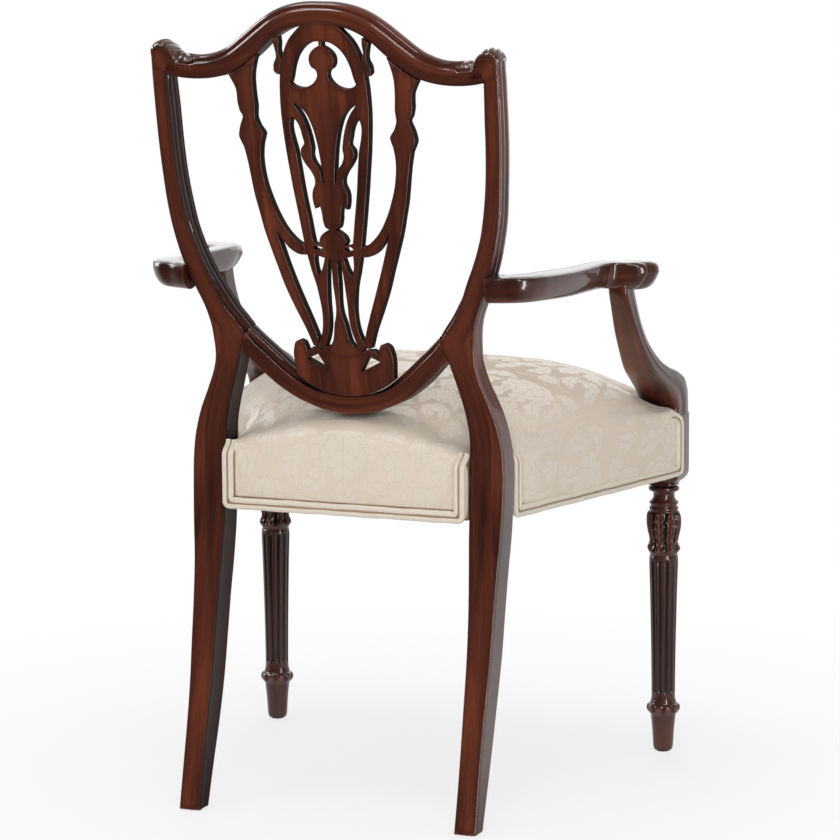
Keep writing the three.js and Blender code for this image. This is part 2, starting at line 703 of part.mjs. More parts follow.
// Front legs and the corner posts over them
function cornerPost() {
  const [w, d, e] = [cornerWidth / 2, cornerDepth / 2, cornerEase];
  const plan = [
    v2(e - w, -d), v2(w - e, -d), v2(w, e - d), v2(w, d - e),
    v2(w - e, d), v2(e - w, d), v2(-w, d - e), v2(-w, e - d),
  ];
  const whole = prism(plan, frontLegTop + jointGap, cornerTop);
  whole.translate(frontLegX, frontLegY, 0);
  const bore = pin(legDowelRadius + dowelClearance, legDowelDepth * 2, dowelSegments);
  bore.translate(frontLegX, frontLegY, frontLegTop - legDowelDepth);
  return bored(whole, [bore]);
}

function frontLeg() {
  const profile = legTurningShares.map(([r, z]) => v2(r * legRadius, z * frontLegTop));
  profile[0].y = glideHeight;
  const whole = turned(profile, legSegments);
  whole.translate(frontLegX, frontLegY, 0);
  const bore = pin(legDowelRadius + dowelClearance, legDowelDepth * 2, dowelSegments);
  bore.translate(frontLegX, frontLegY, frontLegTop - legDowelDepth);
  return bored(whole, [bore]);
}

function legDowel() {
  const length = legDowelDepth * 2 - dowelClearance * 2;
  const dowel = pin(legDowelRadius, length, dowelSegments);
  dowel.translate(frontLegX, frontLegY, frontLegTop - legDowelDepth + dowelClearance);
  return dowel;
}

function glide(x, y) {
  const disc = pin(glideRadius, glideHeight - jointGap, dowelSegments);
  disc.translate(x, y, 0);
  return disc;
}

// Seat frame
const railSlope = (railFrontX - railRearX) / (railRearY - railFrontY);
const railOuterAt = (y) => railRearX + (railRearY - y) * railSlope;
const railInnerAt = (y) => railOuterAt(y) - sideRailWidth;
const sideSlope = (sideFrontX - sideRearX) / (railRearY - railFrontY);
const sideOuterAt = (y) => sideRearX + (railRearY - y) * sideSlope;

function sideRail() {
  const plan = [
    v2(railInnerAt(railRearY), railRearY), v2(railInnerAt(railFrontY), railFrontY),
    v2(railOuterAt(railFrontY), railFrontY), v2(railOuterAt(railRearY), railRearY),
  ];
  return prism(plan, railBottom, railTop);
}

function rearRail() {
  const plan = [
    v2(-rearRailHalf, rearRailY), v2(rearRailHalf, rearRailY),
    v2(rearRailHalf, rearRailOuter), v2(-rearRailHalf, rearRailOuter),
  ];
  return prism(plan, railBottom, railTop);
}

// Bowed front line, a given distance in front of the rail face
const bowSteps = 12;
function frontLine(off) {
  const points = [];
  for (let i = 0; i <= bowSteps; i += 1) {
    const t = (i / bowSteps) * 2 - 1;
    const bow = frontBow * Math.cos((t * Math.PI) / 2);
    points.push(v2(t * frontHalf, frontSideY - bow - off));
  }
  return points;
}

function frontRail() {
  const back = [v2(frontHalf, frontRailY), v2(-frontHalf, frontRailY)];
  return prism([...frontLine(0), ...back], railBottom, railTop);
}

// Corner blocks and screws
function frontBlockPlan() {
  const inside = frontHalf - jointGap;
  const behind = railFrontY + jointGap;
  const reach = railFrontY + frontBlockDepth;
  return [
    v2(frontHalf - frontBlockReach, frontRailY + jointGap), v2(inside, frontRailY + jointGap),
    v2(inside, behind), v2(railInnerAt(behind) - jointGap * 2, behind),
    v2(railInnerAt(reach) - jointGap * 2, reach),
  ];
}

function rearBlockPlan() {
  const inside = rearRailHalf - jointGap;
  const before = railRearY - jointGap;
  const reach = railRearY - rearBlockDepth;
  return [
    v2(rearRailHalf - rearBlockReach, rearRailY - jointGap), v2(railInnerAt(reach) - jointGap * 2, reach),
    v2(railInnerAt(before) - jointGap * 2, before), v2(inside, before),
    v2(inside, rearRailY - jointGap),
  ];
}

// Screw pointing along +Y, tip at its length, head flush at its start
function screwShape(grow, length) {
  const head = screwHeadRadius + grow;
  const shank = screwRadius + grow;
  const profile = [
    v2(head, -grow), v2(head, screwHeadHeight * screwHeadShare), v2(shank, screwHeadHeight),
    v2(shank, length * screwTipShares[0]), v2(shank * screwTipShares[1], length + grow),
  ];
  const geometry = turned(profile, dowelSegments);
  geometry.rotateX(-Math.PI / 2);
  return geometry;
}

// Long counterbore behind the head
function screwBore() {
  const wide = screwHeadRadius + screwBoreClearance;
  const bore = turned([v2(wide, -screwLength), v2(wide, 0)], dowelSegments);
  bore.rotateX(-Math.PI / 2);
  const fit = screwShape(screwBoreClearance, screwLength);
  return fromManifold(toManifold(bore).add(toManifold(fit)));
}

function placed(geometry, x, y, z, turn) {
  const copy = geometry.clone();
  copy.rotateZ(turn);
  copy.translate(x, y, z);
  return copy;
}

const screwLevel = (blockBottom + blockTop) / 2;
const [frontSeatShare, rearSeatShare, sideSeatShare] = screwSeatShares;
const [frontShare, rearShare, frontSideShare, rearSideShare] = blockScrewShares;
const frontScrewX = frontHalf - frontBlockReach * frontShare;
const frontScrew = [frontScrewX, frontRailY + screwLength * frontSeatShare, screwLevel, Math.PI];
const rearScrewX = rearRailHalf - rearBlockReach * rearShare;
const rearScrew = [rearScrewX, rearRailY - screwLength * rearSeatShare, screwLevel, 0];
const sideTurn = -Math.PI / 2 + Math.atan(railSlope);
function sideScrew(y) {
  return [railInnerAt(y) - screwLength * sideSeatShare, y, screwLevel, sideTurn];
}
const frontSideScrew = sideScrew(railFrontY + frontBlockDepth * frontSideShare);
const rearSideScrew = sideScrew(railRearY - rearBlockDepth * rearSideShare);

// Seat board and dust cover
function seatBoard() {
  const rear = railRearY - jointGap;
  const front = railFrontY + jointGap;
  const half = [
    v2(rearRailHalf - jointGap * 2, rearRailY - jointGap), v2(rearRailHalf - jointGap * 2, rear),
    v2(railInnerAt(rear) - jointGap * 2, rear), v2(railInnerAt(front) - jointGap * 2, front),
    v2(frontHalf - jointGap, front), v2(frontHalf - jointGap, frontRailY + jointGap),
  ];
  return prism(mirrorPlan(half), seatBoardBottom, railTop);
}

function dustCover() {
  const rear = railRearY - jointGap;
  const front = railFrontY + jointGap;
  const half = [
    v2(rearRailHalf - jointGap * 2, rearRailOuter), v2(rearRailHalf - jointGap * 2, rear),
    v2(railOuterAt(rear) - jointGap, rear), v2(railOuterAt(front) - jointGap, front),
    v2(frontHalf - jointGap, front), v2(frontHalf - jointGap, frontSideY),
  ];
  return prism(mirrorPlan(half), railBottom - jointGap - dustThickness, railBottom - jointGap);
}

// Upholstered faces of the seat
function sidePanel() {
  const plan = [
    v2(railOuterAt(railRearY) + jointGap, railRearY), v2(railOuterAt(railFrontY) + jointGap, railFrontY),
    v2(sideOuterAt(railFrontY), railFrontY), v2(sideOuterAt(railRearY), railRearY),
  ];
  return prism(plan, panelBottom, panelTop - jointGap);
}

function rearPanel() {
  const plan = [
    v2(-rearRailHalf, rearRailOuter + jointGap), v2(rearRailHalf, rearRailOuter + jointGap),
    v2(rearRailHalf, rearPanelOuter), v2(-rearRailHalf, rearPanelOuter),
  ];
  return prism(plan, panelBottom, rearPanelTop);
}

function frontPanel() {
  const outer = frontLine(panelSkin);
  const inner = frontLine(jointGap).reverse();
  return prism([...outer, ...inner], panelBottom, panelTop - jointGap);
}

// Room for the arm supports at the front corners of the cushion
function supportClearances() {
  const list = [];
  for (const shift of [-jointGap, jointGap]) {
    const left = loftEither(supportShares.map(supportRing), supportPlan);
    left.translate(shift, jointGap, 0);
    list.push(left, mirrored(left));
  }
  return list;
}

// Soft crowned cushion with drawn-in sides
function cushionRing([size, rise], plan) {
  const middle = span(cushionMiddleShare);
  const z = cushionBottom + rise * cushionCrown;
  const lean = rise * cushionLean;
  return plan.map((p) => v3(p.x * size, middle + (p.y - middle) * size - lean, z));
}

function cushion() {
  const half = cushionPlanShares.map(([x, y]) => v2(span(x), span(y)));
  const plan = [...half, ...flipped(half).slice(1, -1)];
  const rings = cushionRingShares.map((row) => cushionRing(row, plan));
  return bored(loftEither(rings, plan), supportClearances());
}

// Double cord carried round a face: each stop has a place, a way across and a way out
function welt(stops) {
  const rings = stops.map(({ at, across, out }) => weltSectionShares.map(([a, o]) => (
    at.clone().addScaledVector(across, a * weltHalf).addScaledVector(out, o * weltRise)
  )));
  return loftEither(rings, weltSectionShares.map(([a, o]) => v2(a, o)));
}

// Stops down one edge, along the bottom and up the other edge of a face
function weltStops(face, length, top) {
  const low = panelBottom + weltHalf;
  const side = weltInset;
  const cut = side * weltCornerShare;
  const turn = weltTurnShare;
  const path = [[side, top, 1, 0], [side, low + side, 1, 0], [side + cut, low + cut, turn, turn]];
  for (let i = 0; i <= weltSteps; i += 1) {
    path.push([side * 2 + ((length - side * 4) * i) / weltSteps, low, 0, 1]);
  }
  path.push([length - side - cut, low + cut, -turn, turn]);
  path.push([length - side, low + side, -1, 0], [length - side, top, -1, 0]);
  return path.map(([s, z, acrossSide, acrossUp]) => {
    const { x, y, alongX, alongY, outX, outY } = face(s / length);
    const across = v3(alongX * acrossSide, alongY * acrossSide, acrossUp);
    return { at: v3(x, y, z), across, out: v3(outX, outY, 0) };
  });
}

// Straight face from one plan point to another, facing right of the way it runs
function straightFace(from, to) {
  const along = to.clone().sub(from).normalize();
  return (t) => ({
    x: from.x + (to.x - from.x) * t + along.y * jointGap,
    y: from.y + (to.y - from.y) * t - along.x * jointGap,
    alongX: along.x, alongY: along.y, outX: along.y, outY: -along.x,
  });
}

function bowedFace() {
  const curve = new THREE.SplineCurve(frontLine(panelSkin + jointGap));
  return (t) => {
    const p = curve.getPointAt(t);
    const along = curve.getTangentAt(t);
    return { x: p.x, y: p.y, alongX: along.x, alongY: along.y, outX: along.y, outY: -along.x };
  };
}

function sideWelt() {
  const from = v2(sideFrontX, railFrontY);
  const to = v2(sideRearX, railRearY);
  return welt(weltStops(straightFace(from, to), from.distanceTo(to), panelTop - jointGap));
}

function rearWelt() {
  const from = v2(rearRailHalf, rearPanelOuter);
  const to = v2(-rearRailHalf, rearPanelOuter);
  return welt(weltStops(straightFace(from, to), rearRailHalf * 2, rearPanelTop));
}

function frontWelt() {
  const curve = new THREE.SplineCurve(frontLine(panelSkin));
  return welt(weltStops(bowedFace(), curve.getLength(), panelTop - jointGap));
}

// Assembly
addPair('rear_post', rearPost(), mahogany);
addPair('ear_cap', earCap(), darkMahogany);
add('crest_rail', crestRail(), mahogany);
addPair('shield_rim', shieldRim(), mahogany);
add('splat_center', splatCentre(), mahogany);
addPair('splat_bar', splatBar(), mahogany);
addPair('splat_leaf', backBoard(boardPoints(leafShares), []), darkMahogany);
add('splat_base', splatBase(), mahogany);
addPair('arm', bored(armWhole(), [armBore()]), mahogany);
addPair('arm_support', armSupport(), mahogany);
addPair('arm_dowel', armDowel(), frameWood);
addPair('corner_post', cornerPost(), mahogany);
addPair('front_leg', frontLeg(), darkMahogany);
addPair('leg_dowel', legDowel(), frameWood);

const bore = screwBore();
const screw = screwShape(0, screwLength);
const boresFor = (...spots) => spots.map((spot) => placed(bore, ...spot));
const rightSpot = ([x, y, z, turn]) => [-x, y, z, -turn];
addPair('side_rail', bored(sideRail(), boresFor(frontSideScrew, rearSideScrew)), frameWood);
add('front_rail', bored(frontRail(), boresFor(frontScrew, rightSpot(frontScrew))), frameWood);
add('rear_rail', bored(rearRail(), boresFor(rearScrew, rightSpot(rearScrew))), frameWood);
const frontBlock = prism(frontBlockPlan(), blockBottom, blockTop);
const rearBlock = prism(rearBlockPlan(), blockBottom, blockTop);
addPair('front_corner_block', bored(frontBlock, boresFor(frontScrew, frontSideScrew)), frameWood);
addPair('rear_corner_block', bored(rearBlock, boresFor(rearScrew, rearSideScrew)), frameWood);
addPair('front_block_screw', placed(screw, ...frontScrew), steel);
addPair('front_side_screw', placed(screw, ...frontSideScrew), steel);
addPair('rear_block_screw', placed(screw, ...rearScrew), steel);
addPair('rear_side_screw', placed(screw, ...rearSideScrew), steel);

add('seat_board', seatBoard(), plywood);
add('seat_cushion', cushion(), damask);
addPair('side_panel', sidePanel(), damask);
add('rear_panel', rearPanel(), damask);
add('front_panel', frontPanel(), damask);
addPair('side_welt', sideWelt(), weltCloth);
add('rear_welt', rearWelt(), weltCloth);
add('front_welt', frontWelt(), weltCloth);
add('dust_cover', dustCover(), blackCloth);

const footX = span((postShares[0][1] + postShares[0][2]) / 2);
const footY = span(postShares[0][3] - postShares[0][4] / 2);
addPair('front_glide', glide(frontLegX, frontLegY), nylon);
addPair('rear_glide', glide(footX, footY), nylon);

export default chair;
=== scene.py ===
import math

import bmesh
import bpy
import numpy as np
from mathutils import Matrix, Vector
from mathutils.bvhtree import BVHTree
from mathutils.geometry import tessellate_polygon


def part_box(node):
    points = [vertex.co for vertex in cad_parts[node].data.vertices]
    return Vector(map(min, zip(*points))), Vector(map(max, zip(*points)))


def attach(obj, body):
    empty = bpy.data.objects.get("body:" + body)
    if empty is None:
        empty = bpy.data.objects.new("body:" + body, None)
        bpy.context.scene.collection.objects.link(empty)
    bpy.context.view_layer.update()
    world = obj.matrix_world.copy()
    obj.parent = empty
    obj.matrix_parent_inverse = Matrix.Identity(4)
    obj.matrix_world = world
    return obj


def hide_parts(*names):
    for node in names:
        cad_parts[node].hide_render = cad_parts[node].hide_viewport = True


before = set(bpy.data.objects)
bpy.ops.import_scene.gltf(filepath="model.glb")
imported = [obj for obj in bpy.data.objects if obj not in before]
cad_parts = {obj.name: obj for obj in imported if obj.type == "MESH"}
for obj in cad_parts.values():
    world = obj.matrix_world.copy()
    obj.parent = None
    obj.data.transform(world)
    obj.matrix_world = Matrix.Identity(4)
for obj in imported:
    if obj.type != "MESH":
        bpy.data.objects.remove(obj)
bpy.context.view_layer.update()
MM = 0.001

# Camera, fitted to the photograph: it stands behind the chair, on its right side
AZIMUTH, ELEVATION, ROLL = 201.1457, 9.6091, -0.3449
CAMERA_REACH, CAMERA_RIGHT, CAMERA_UP = 5480.57, -24.35, -76.43
CAMERA_AIM = Vector((0, -121, 500))
FOCAL_PIXELS, PICTURE = 4408.36, 840


def make_camera():
    a, e, r = (math.radians(v) for v in (AZIMUTH, ELEVATION, ROLL))
    back = Vector((math.sin(a) * math.cos(e), -math.cos(a) * math.cos(e), math.sin(e)))
    right = Vector((0, 0, 1)).cross(back).normalized()
    up = back.cross(right)
    place = CAMERA_AIM + back * CAMERA_REACH + right * CAMERA_RIGHT + up * CAMERA_UP
    turned_right = right * math.cos(r) + up * math.sin(r)
    turned_up = up * math.cos(r) - right * math.sin(r)
    data = bpy.data.cameras.new("camera")
    data.sensor_width = 36
    data.lens = FOCAL_PIXELS * 36 / PICTURE
    data.clip_start, data.clip_end = 0.1, 60
    camera = put("camera", data)
    turn = Matrix((turned_right, turned_up, back)).transposed().to_4x4()
    camera.matrix_world = Matrix.Translation(place * MM) @ turn
    bpy.context.scene.camera = camera


# Small tools for curves. All lengths in the shapes below are millimetres.

def smooth(xs, ys, at, level=False):
    """Smooth run through values; level=True keeps it from overshooting them."""
    xs, ys, at = (np.asarray(v, float) for v in (xs, ys, at))
    flat = ys.ndim == 1
    ys = ys[:, None] if flat else ys
    h = np.diff(xs)
    d = np.diff(ys, axis=0) / h[:, None]
    inner = (h[:-1, None] * d[1:] + h[1:, None] * d[:-1]) / (h[:-1] + h[1:])[:, None]
    m = np.vstack([d[:1], inner, d[-1:]])
    if level:
        turn = d[1:] * d[:-1] <= 0
        low = 3 * np.minimum(abs(d[1:]), abs(d[:-1])) * np.sign(d[1:])
        m[1:-1] = np.where(turn, 0, np.where(abs(m[1:-1]) > abs(low), low, m[1:-1]))
    at = np.clip(at, xs[0], xs[-1])
    i = np.clip(np.searchsorted(xs, at, side="right") - 1, 0, len(h) - 1)
    t = ((at - xs[i]) / h[i])[:, None]
    out = (
        (1 + 2 * t) * (1 - t) ** 2 * ys[i]
        + t * (1 - t) ** 2 * h[i][:, None] * m[i]
        + t * t * (3 - 2 * t) * ys[i + 1]
        + t * t * (t - 1) * h[i][:, None] * m[i + 1]
    )
    return out[:, 0] if flat else out


def run_of(points):
    """Distance along a line at each of its points."""
    return np.concatenate([[0], np.cumsum(np.linalg.norm(np.diff(points, axis=0), axis=1))])


def trace(points, step):
    """Smooth curve through points, with its own points about a step apart."""
    points = np.asarray(points, float)
    along = run_of(points)
    count = max(2, int(round(along[-1] / step)) + 1)
    return smooth(along, points, np.linspace(0, along[-1], count))


def rounded_trace(loop, step, sharp=50):
    """Closed loop smoothed between its sharp corners."""
    loop = np.asarray(loop, float)
    n = len(loop)
    ahead, behind = np.roll(loop, -1, 0) - loop, loop - np.roll(loop, 1, 0)
    turn = np.arctan2(behind[:, 0] * ahead[:, 1] - behind[:, 1] * ahead[:, 0], (behind * ahead).sum(1))
    corners = [i for i in range(n) if abs(math.degrees(turn[i])) > sharp]
    if not corners:
        wide = np.vstack([loop[-3:], loop, loop[:4]])
        lengths = run_of(wide)
        start, end = lengths[3], lengths[3 + n]
        count = max(8, int(round((end - start) / step)))
        return smooth(lengths, wide, np.linspace(start, end, count, endpoint=False))
    out = []
    for j, c in enumerate(corners):
        nxt = corners[(j + 1) % len(corners)]
        span = (nxt - c) % n or n
        part = [loop[(c + k) % n] for k in range(span + 1)]
        out.append(trace(part, step)[:-1])
    return np.vstack(out)


def ease(v, low, high):
    t = np.clip((np.asarray(v, float) - low) / (high - low), 0, 1)
    return t * t * (3 - 2 * t)


def bump(v, centre, width):
    return np.exp(-(((np.asarray(v, float) - centre) / width) ** 2))


def arc(cx, cy, radius, start, end, count):
    angles = np.radians(np.linspace(start, end, count))
    return np.stack([cx + radius * np.cos(angles), cy + radius * np.sin(angles)], 1)


def at_height(flat, z):
    return np.column_stack([flat, np.full(len(flat), z)])


def put(name, data):
    """New object in the scene."""
    obj = bpy.data.objects.new(name, data)
    bpy.context.scene.collection.objects.link(obj)
    return obj


def note(mesh, name, values):
    """Writes one number, or one vector, to each point of a mesh."""
    values = np.asarray(values, np.float32)
    kind, field = ("FLOAT", "value") if values.ndim == 1 else ("FLOAT_VECTOR", "vector")
    mesh.attributes.new(name, kind, "POINT").data.foreach_set(field, values.ravel())


def make(name, verts, faces, grain=None, sharp=35, carved=None):
    """Object from millimetre points, faces turned outward, soft shading except at sharp edges."""
    mesh = bpy.data.meshes.new(name)
    mesh.from_pydata([tuple(v) for v in np.asarray(verts, float) * MM], [], faces)
    b = bmesh.new()
    b.from_mesh(mesh)
    bmesh.ops.recalc_face_normals(b, faces=b.faces)
    b.to_mesh(mesh)
    b.free()
    if grain is not None:
        note(mesh, "grain", grain)
    if carved is not None:
        note(mesh, "carved", np.ravel(carved))
    return shade(put(name, mesh), sharp)


def shade(obj, sharp):
    obj.data.shade_smooth()
    obj.data.set_sharp_from_angle(angle=math.radians(sharp))
    return obj


def mirror(obj):
    """The right side's copy of a left piece."""
    mesh = obj.data.copy()
    mesh.name = obj.name.replace("left", "right")
    mesh.transform(Matrix.Diagonal((-1, 1, 1, 1)))
    mesh.flip_normals()
    return put(obj.name.replace("left", "right"), mesh)


def ring_faces(n, k, base=0):
    """Faces between n rings of k points, and one over each end."""
    faces = [
        tuple(base + v for v in (r * k + i, r * k + (i + 1) % k, (r + 1) * k + (i + 1) % k, (r + 1) * k + i))
        for r in range(n - 1) for i in range(k)
    ]
    return faces + [tuple(range(base, base + k)), tuple(range(base + (n - 1) * k, base + n * k))]


def sweep(name, rows, sharp=35, start=0.0, carved=None):
    """Skin through a row of closed loops, with the wood's grain running along it.

    carved is how far the carver's tool left each point proud.
    """
    rows = np.asarray(rows, float)
    n, k = rows.shape[:2]
    middle = rows.mean(1)
    way = np.gradient(middle, axis=0)
    way /= np.linalg.norm(way, axis=1)[:, None] + 1e-9
    one = rows[:, 0] - rows[:, k // 2]
    one -= (one * way).sum(1)[:, None] * way
    one /= np.linalg.norm(one, axis=1)[:, None] + 1e-9
    two = np.cross(way, one)
    local = rows - middle[:, None]
    grain = np.stack([
        (local * one[:, None]).sum(2), (local * two[:, None]).sum(2),
        np.repeat((start + run_of(middle))[:, None], k, 1),
    ], 2)
    return make(name, rows.reshape(-1, 3), ring_faces(n, k), grain.reshape(-1, 3), sharp, carved)


def points_of(obj):
    flat = np.zeros(len(obj.data.vertices) * 3)
    obj.data.vertices.foreach_get("co", flat)
    return flat.reshape(-1, 3) / MM


def set_points(obj, points):
    obj.data.vertices.foreach_set("co", (points * MM).ravel())
    obj.data.update()


def levels(name, axis):
    """Different corner points of a CAD node, grouped by their place along one axis, low to high."""
    points = np.unique(np.round(points_of(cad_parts[name]), 2), axis=0)
    order = points[np.argsort(points[:, axis])]
    cuts = np.nonzero(np.diff(order[:, axis]) > 0.6)[0] + 1
    return np.split(order, cuts)


def cad_box(name):
    return (np.array(corner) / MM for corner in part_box(name))


def skin(obj, material, slot, *nodes, shaded=None, wall_shade=None):
    """A finished piece: its material, what it stands for, and its body; slot is not used.

    shaded picks the faces that get wall_shade, a darker copy of the wood that paints the shade on an opening's
    inner walls.
    """
    obj.data.materials.clear()
    for layer in (material, wall_shade or shaded_wall_wood) if shaded else (material,):
        obj.data.materials.append(layer)
    for face in obj.data.polygons:
        face.material_index = int(bool(shaded and shaded(face.normal, face.center)))
    if nodes:
        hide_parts(*nodes)
    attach(obj, "root")
    return obj


def pair(obj, material, slot, *nodes, **wall_shading):
    """Skins a left piece and its mirror image; nodes are the left ones."""
    other = mirror(obj)
    skin(obj, material, slot, *nodes, **wall_shading)
    skin(other, material, slot, *[node.replace("left", "right") for node in nodes], **wall_shading)
    return obj, other


# Line of the rear face of the back: height, depth
BACK_LINE = [
    (460, 175), (510, 187), (549, 196), (600, 208.5), (640, 217), (680, 223.5), (720, 229),
    (760, 235), (800, 240.5), (840, 246.3), (880, 252.3), (910, 257.2), (940, 262.5), (980, 269),
]


def back_y(z):
    heights, depths = zip(*BACK_LINE)
    return smooth(heights, depths, np.atleast_1d(z))


def straight_back_y(z):
    heights, depths = zip(*BACK_LINE)
    return np.interp(z, heights, depths)


# Finishes. A Sum is a number in a node tree, so that node sums read as sums.
class Sum:
    def __init__(self, tree, socket):
        self.tree, self.socket = tree, socket

    def do(self, operation, *others):
        node = self.tree.nodes.new("ShaderNodeMath")
        node.operation = operation
        feed(self.tree, node.inputs, (self, *others))
        return Sum(self.tree, node.outputs[0])

    def __add__(self, other): return self.do("ADD", other)
    def __sub__(self, other): return self.do("SUBTRACT", other)
    def __mul__(self, other): return self.do("MULTIPLY", other)
    def __radd__(self, other): return self.do("ADD", other)
    def __rmul__(self, other): return self.do("MULTIPLY", other)
    def __rsub__(self, other): return (self * -1.0) + other
    def __abs__(self): return self.do("ABSOLUTE")
    def top(self, other): return self.do("MAXIMUM", other)
    def least(self, other): return self.do("MINIMUM", other)
    def sin(self): return self.do("SINE")

    def between(self, low, high, out_low=0.0, out_high=1.0):
        node = self.tree.nodes.new("ShaderNodeMapRange")
        node.interpolation_type = "SMOOTHSTEP"
        feed(self.tree, node.inputs, (self, low, high, out_low, out_high))
        return Sum(self.tree, node.outputs[0])


def feed(tree, sockets, values):
    """Sets sockets from numbers, colours, sums or other sockets."""
    for socket, value in zip(sockets, values):
        if isinstance(value, Sum):
            value = value.socket
        if isinstance(value, bpy.types.NodeSocket):
            tree.links.new(value, socket)
        elif value is not None:
            socket.default_value = value


def node(tree, kind, settings=None, **inputs):
    made = tree.nodes.new("ShaderNode" + kind)
    for key, value in (settings or {}).items():
        setattr(made, key, value)
    for key, value in inputs.items():
        feed(tree, [made.inputs[key.replace("_", " ")]], [value])
    return made


def stretched(tree, vector, by):
    made = node(tree, "VectorMath", {"operation": "MULTIPLY"})
    feed(tree, made.inputs, (vector, by))
    return made.outputs[0]


def noise_of(tree, vector, scale, detail=3.0, rough=0.5, distort=0.0, by=None):
    """Noise at a scale per millimetre, drawn out along an axis where by is small."""
    if by:
        vector = stretched(tree, vector, by)
    made = node(tree, "TexNoise", Vector=vector, Scale=scale, Detail=detail, Roughness=rough, Distortion=distort)
    return Sum(tree, made.outputs["Fac"])


def blend(tree, share, one, two):
    made = node(tree, "Mix", {"data_type": "RGBA"})
    feed(tree, [made.inputs[0], made.inputs[6], made.inputs[7]], (share, one, two))
    return made.outputs[2]


def tint(colour, by=1.0):
    """A colour for a socket, darker or lighter by a factor."""
    return (*[c * by for c in colour], 1)


def attribute(tree, name, output="Vector"):
    return node(tree, "Attribute", {"attribute_name": name}).outputs[output]


def parts_of(tree, vector):
    return [Sum(tree, part) for part in node(tree, "SeparateXYZ", Vector=vector).outputs]


def openness(tree, distance, **settings):
    """1 in the open and 0 in a corner, or 0 at an arris with inside set."""
    return Sum(tree, node(tree, "AmbientOcclusion", settings, Distance=distance).outputs["AO"])


def start_material(name):
    material = bpy.data.materials.new(name)
    material.use_nodes = True
    return material, material.node_tree


def finish(material, colour, rough, height, strength=0.5, **constants):
    """Joins a material's colour, roughness and relief to its shader; relief is 1 mm high where height is 1."""
    tree = material.node_tree
    shader = tree.nodes["Principled BSDF"]
    raised = node(tree, "Bump", Height=height, Distance=MM, Strength=strength).outputs[0]
    feed(tree, [shader.inputs[key] for key in ("Base Color", "Roughness", "Normal")], (colour, rough, raised))
    for key, value in constants.items():
        shader.inputs[key.replace("_", " ")].default_value = value
    return material


def place_of(tree, own, along="z"):
    """Place on a piece in millimetres.

    This is the piece's own grain run, or its place in space turned so that the grain runs along z.
    """
    if own:
        return attribute(tree, "grain")
    parts = parts_of(tree, stretched(tree, node(tree, "TexCoord").outputs["Object"], (1 / MM,) * 3))
    made = node(tree, "CombineXYZ")
    feed(tree, made.inputs, [parts[i] for i in {"x": (1, 2, 0), "y": (0, 2, 1), "z": (0, 1, 2)}[along]])
    return made.outputs[0]


# Near-black brown for the glaze and painted shade in hollows, openings and deep carved crevices.
GLAZE_AND_SHADE = (0.006, 0.003, 0.0025, 1)


def polished(name, deep, middle, light, own=True, rough=0.3, coat=0.8, gloss=0.35, cavity=0.011, ior=1.45):
    """French-polished mahogany; own is whether the piece has its own grain run, and isn't carved.

    Slow bands and fine streaks run along the grain, with pores. Painted shade darkens the faces towards their
    edges; hollows and deep carved crevices darken, partly glaze and partly painted shade; the arrises and proud
    carving are lighter, partly rubbed wear and partly a painted highlight.
    """
    material, tree = start_material(name)
    spot = place_of(tree, own)
    band = noise_of(tree, spot, 0.06, 4, 0.55, 0.7, by=(1, 1, 0.06))
    wide = noise_of(tree, spot, 0.013, 3, 0.5, 0.3, by=(1, 1, 0.3))
    streak = noise_of(tree, spot, 0.8, 4, 0.6, by=(1, 1, 0.025))
    pore = noise_of(tree, spot, 2.6, 2, by=(1, 1, 0.06)).between(0.6, 0.72)
    ramp = node(tree, "ValToRGB", Fac=band * 0.48 + wide * 0.36 + streak * 0.16)
    stops = ramp.color_ramp.elements
    stops[0].position, stops[0].color = 0.38, tint(deep)
    stops[1].position, stops[1].color = 0.64, tint(light)
    stops.new(0.5).color = tint(middle)
    colour = blend(tree, pore * 0.4, ramp.outputs[0], tint(deep, 0.4))
    arris = openness(tree, 0.008, inside=True, only_local=True, samples=8)
    # Painted shade: the faces darken towards their edges.
    colour = blend(tree, arris.between(0.5, 0.98, 0.36, 1.0), tint(middle, 0.3), colour)
    # Lighter right on the arrises: partly rubbed wear, partly a painted highlight.
    colour = blend(tree, arris.between(0.56, 0.44) * 0.35, colour, tint(light, 1.5))
    # Hollows and narrow openings darken: partly glaze, partly painted shade.
    colour = blend(tree, openness(tree, cavity, samples=8).between(0.25, 0.85), GLAZE_AND_SHADE, colour)
    if not own:
        proud = Sum(tree, attribute(tree, "carved", "Fac"))
        # Proud carving is lighter: partly rubbed wear, partly a painted highlight.
        colour = blend(tree, proud.between(0.25, 0.9) * 0.75, colour, tint(light, 1.7))
        # Deep carved crevices darken: partly glaze, partly painted shade.
        colour = blend(tree, proud.between(-0.3, -1.5), colour, GLAZE_AND_SHADE)
    haze = noise_of(tree, spot, 0.035, 3, 0.6)
    wave = noise_of(tree, spot, 0.06, 2, by=(1, 1, 0.25))
    return finish(
        material, colour,
        haze * 0.16 + pore * 0.12 + (rough - 0.07), pore * -0.03 + wave * 0.14 + streak * 0.02,
        IOR=ior, Specular_IOR_Level=gloss, Coat_Weight=coat, Coat_Roughness=0.06, Coat_IOR=1.45,
    )


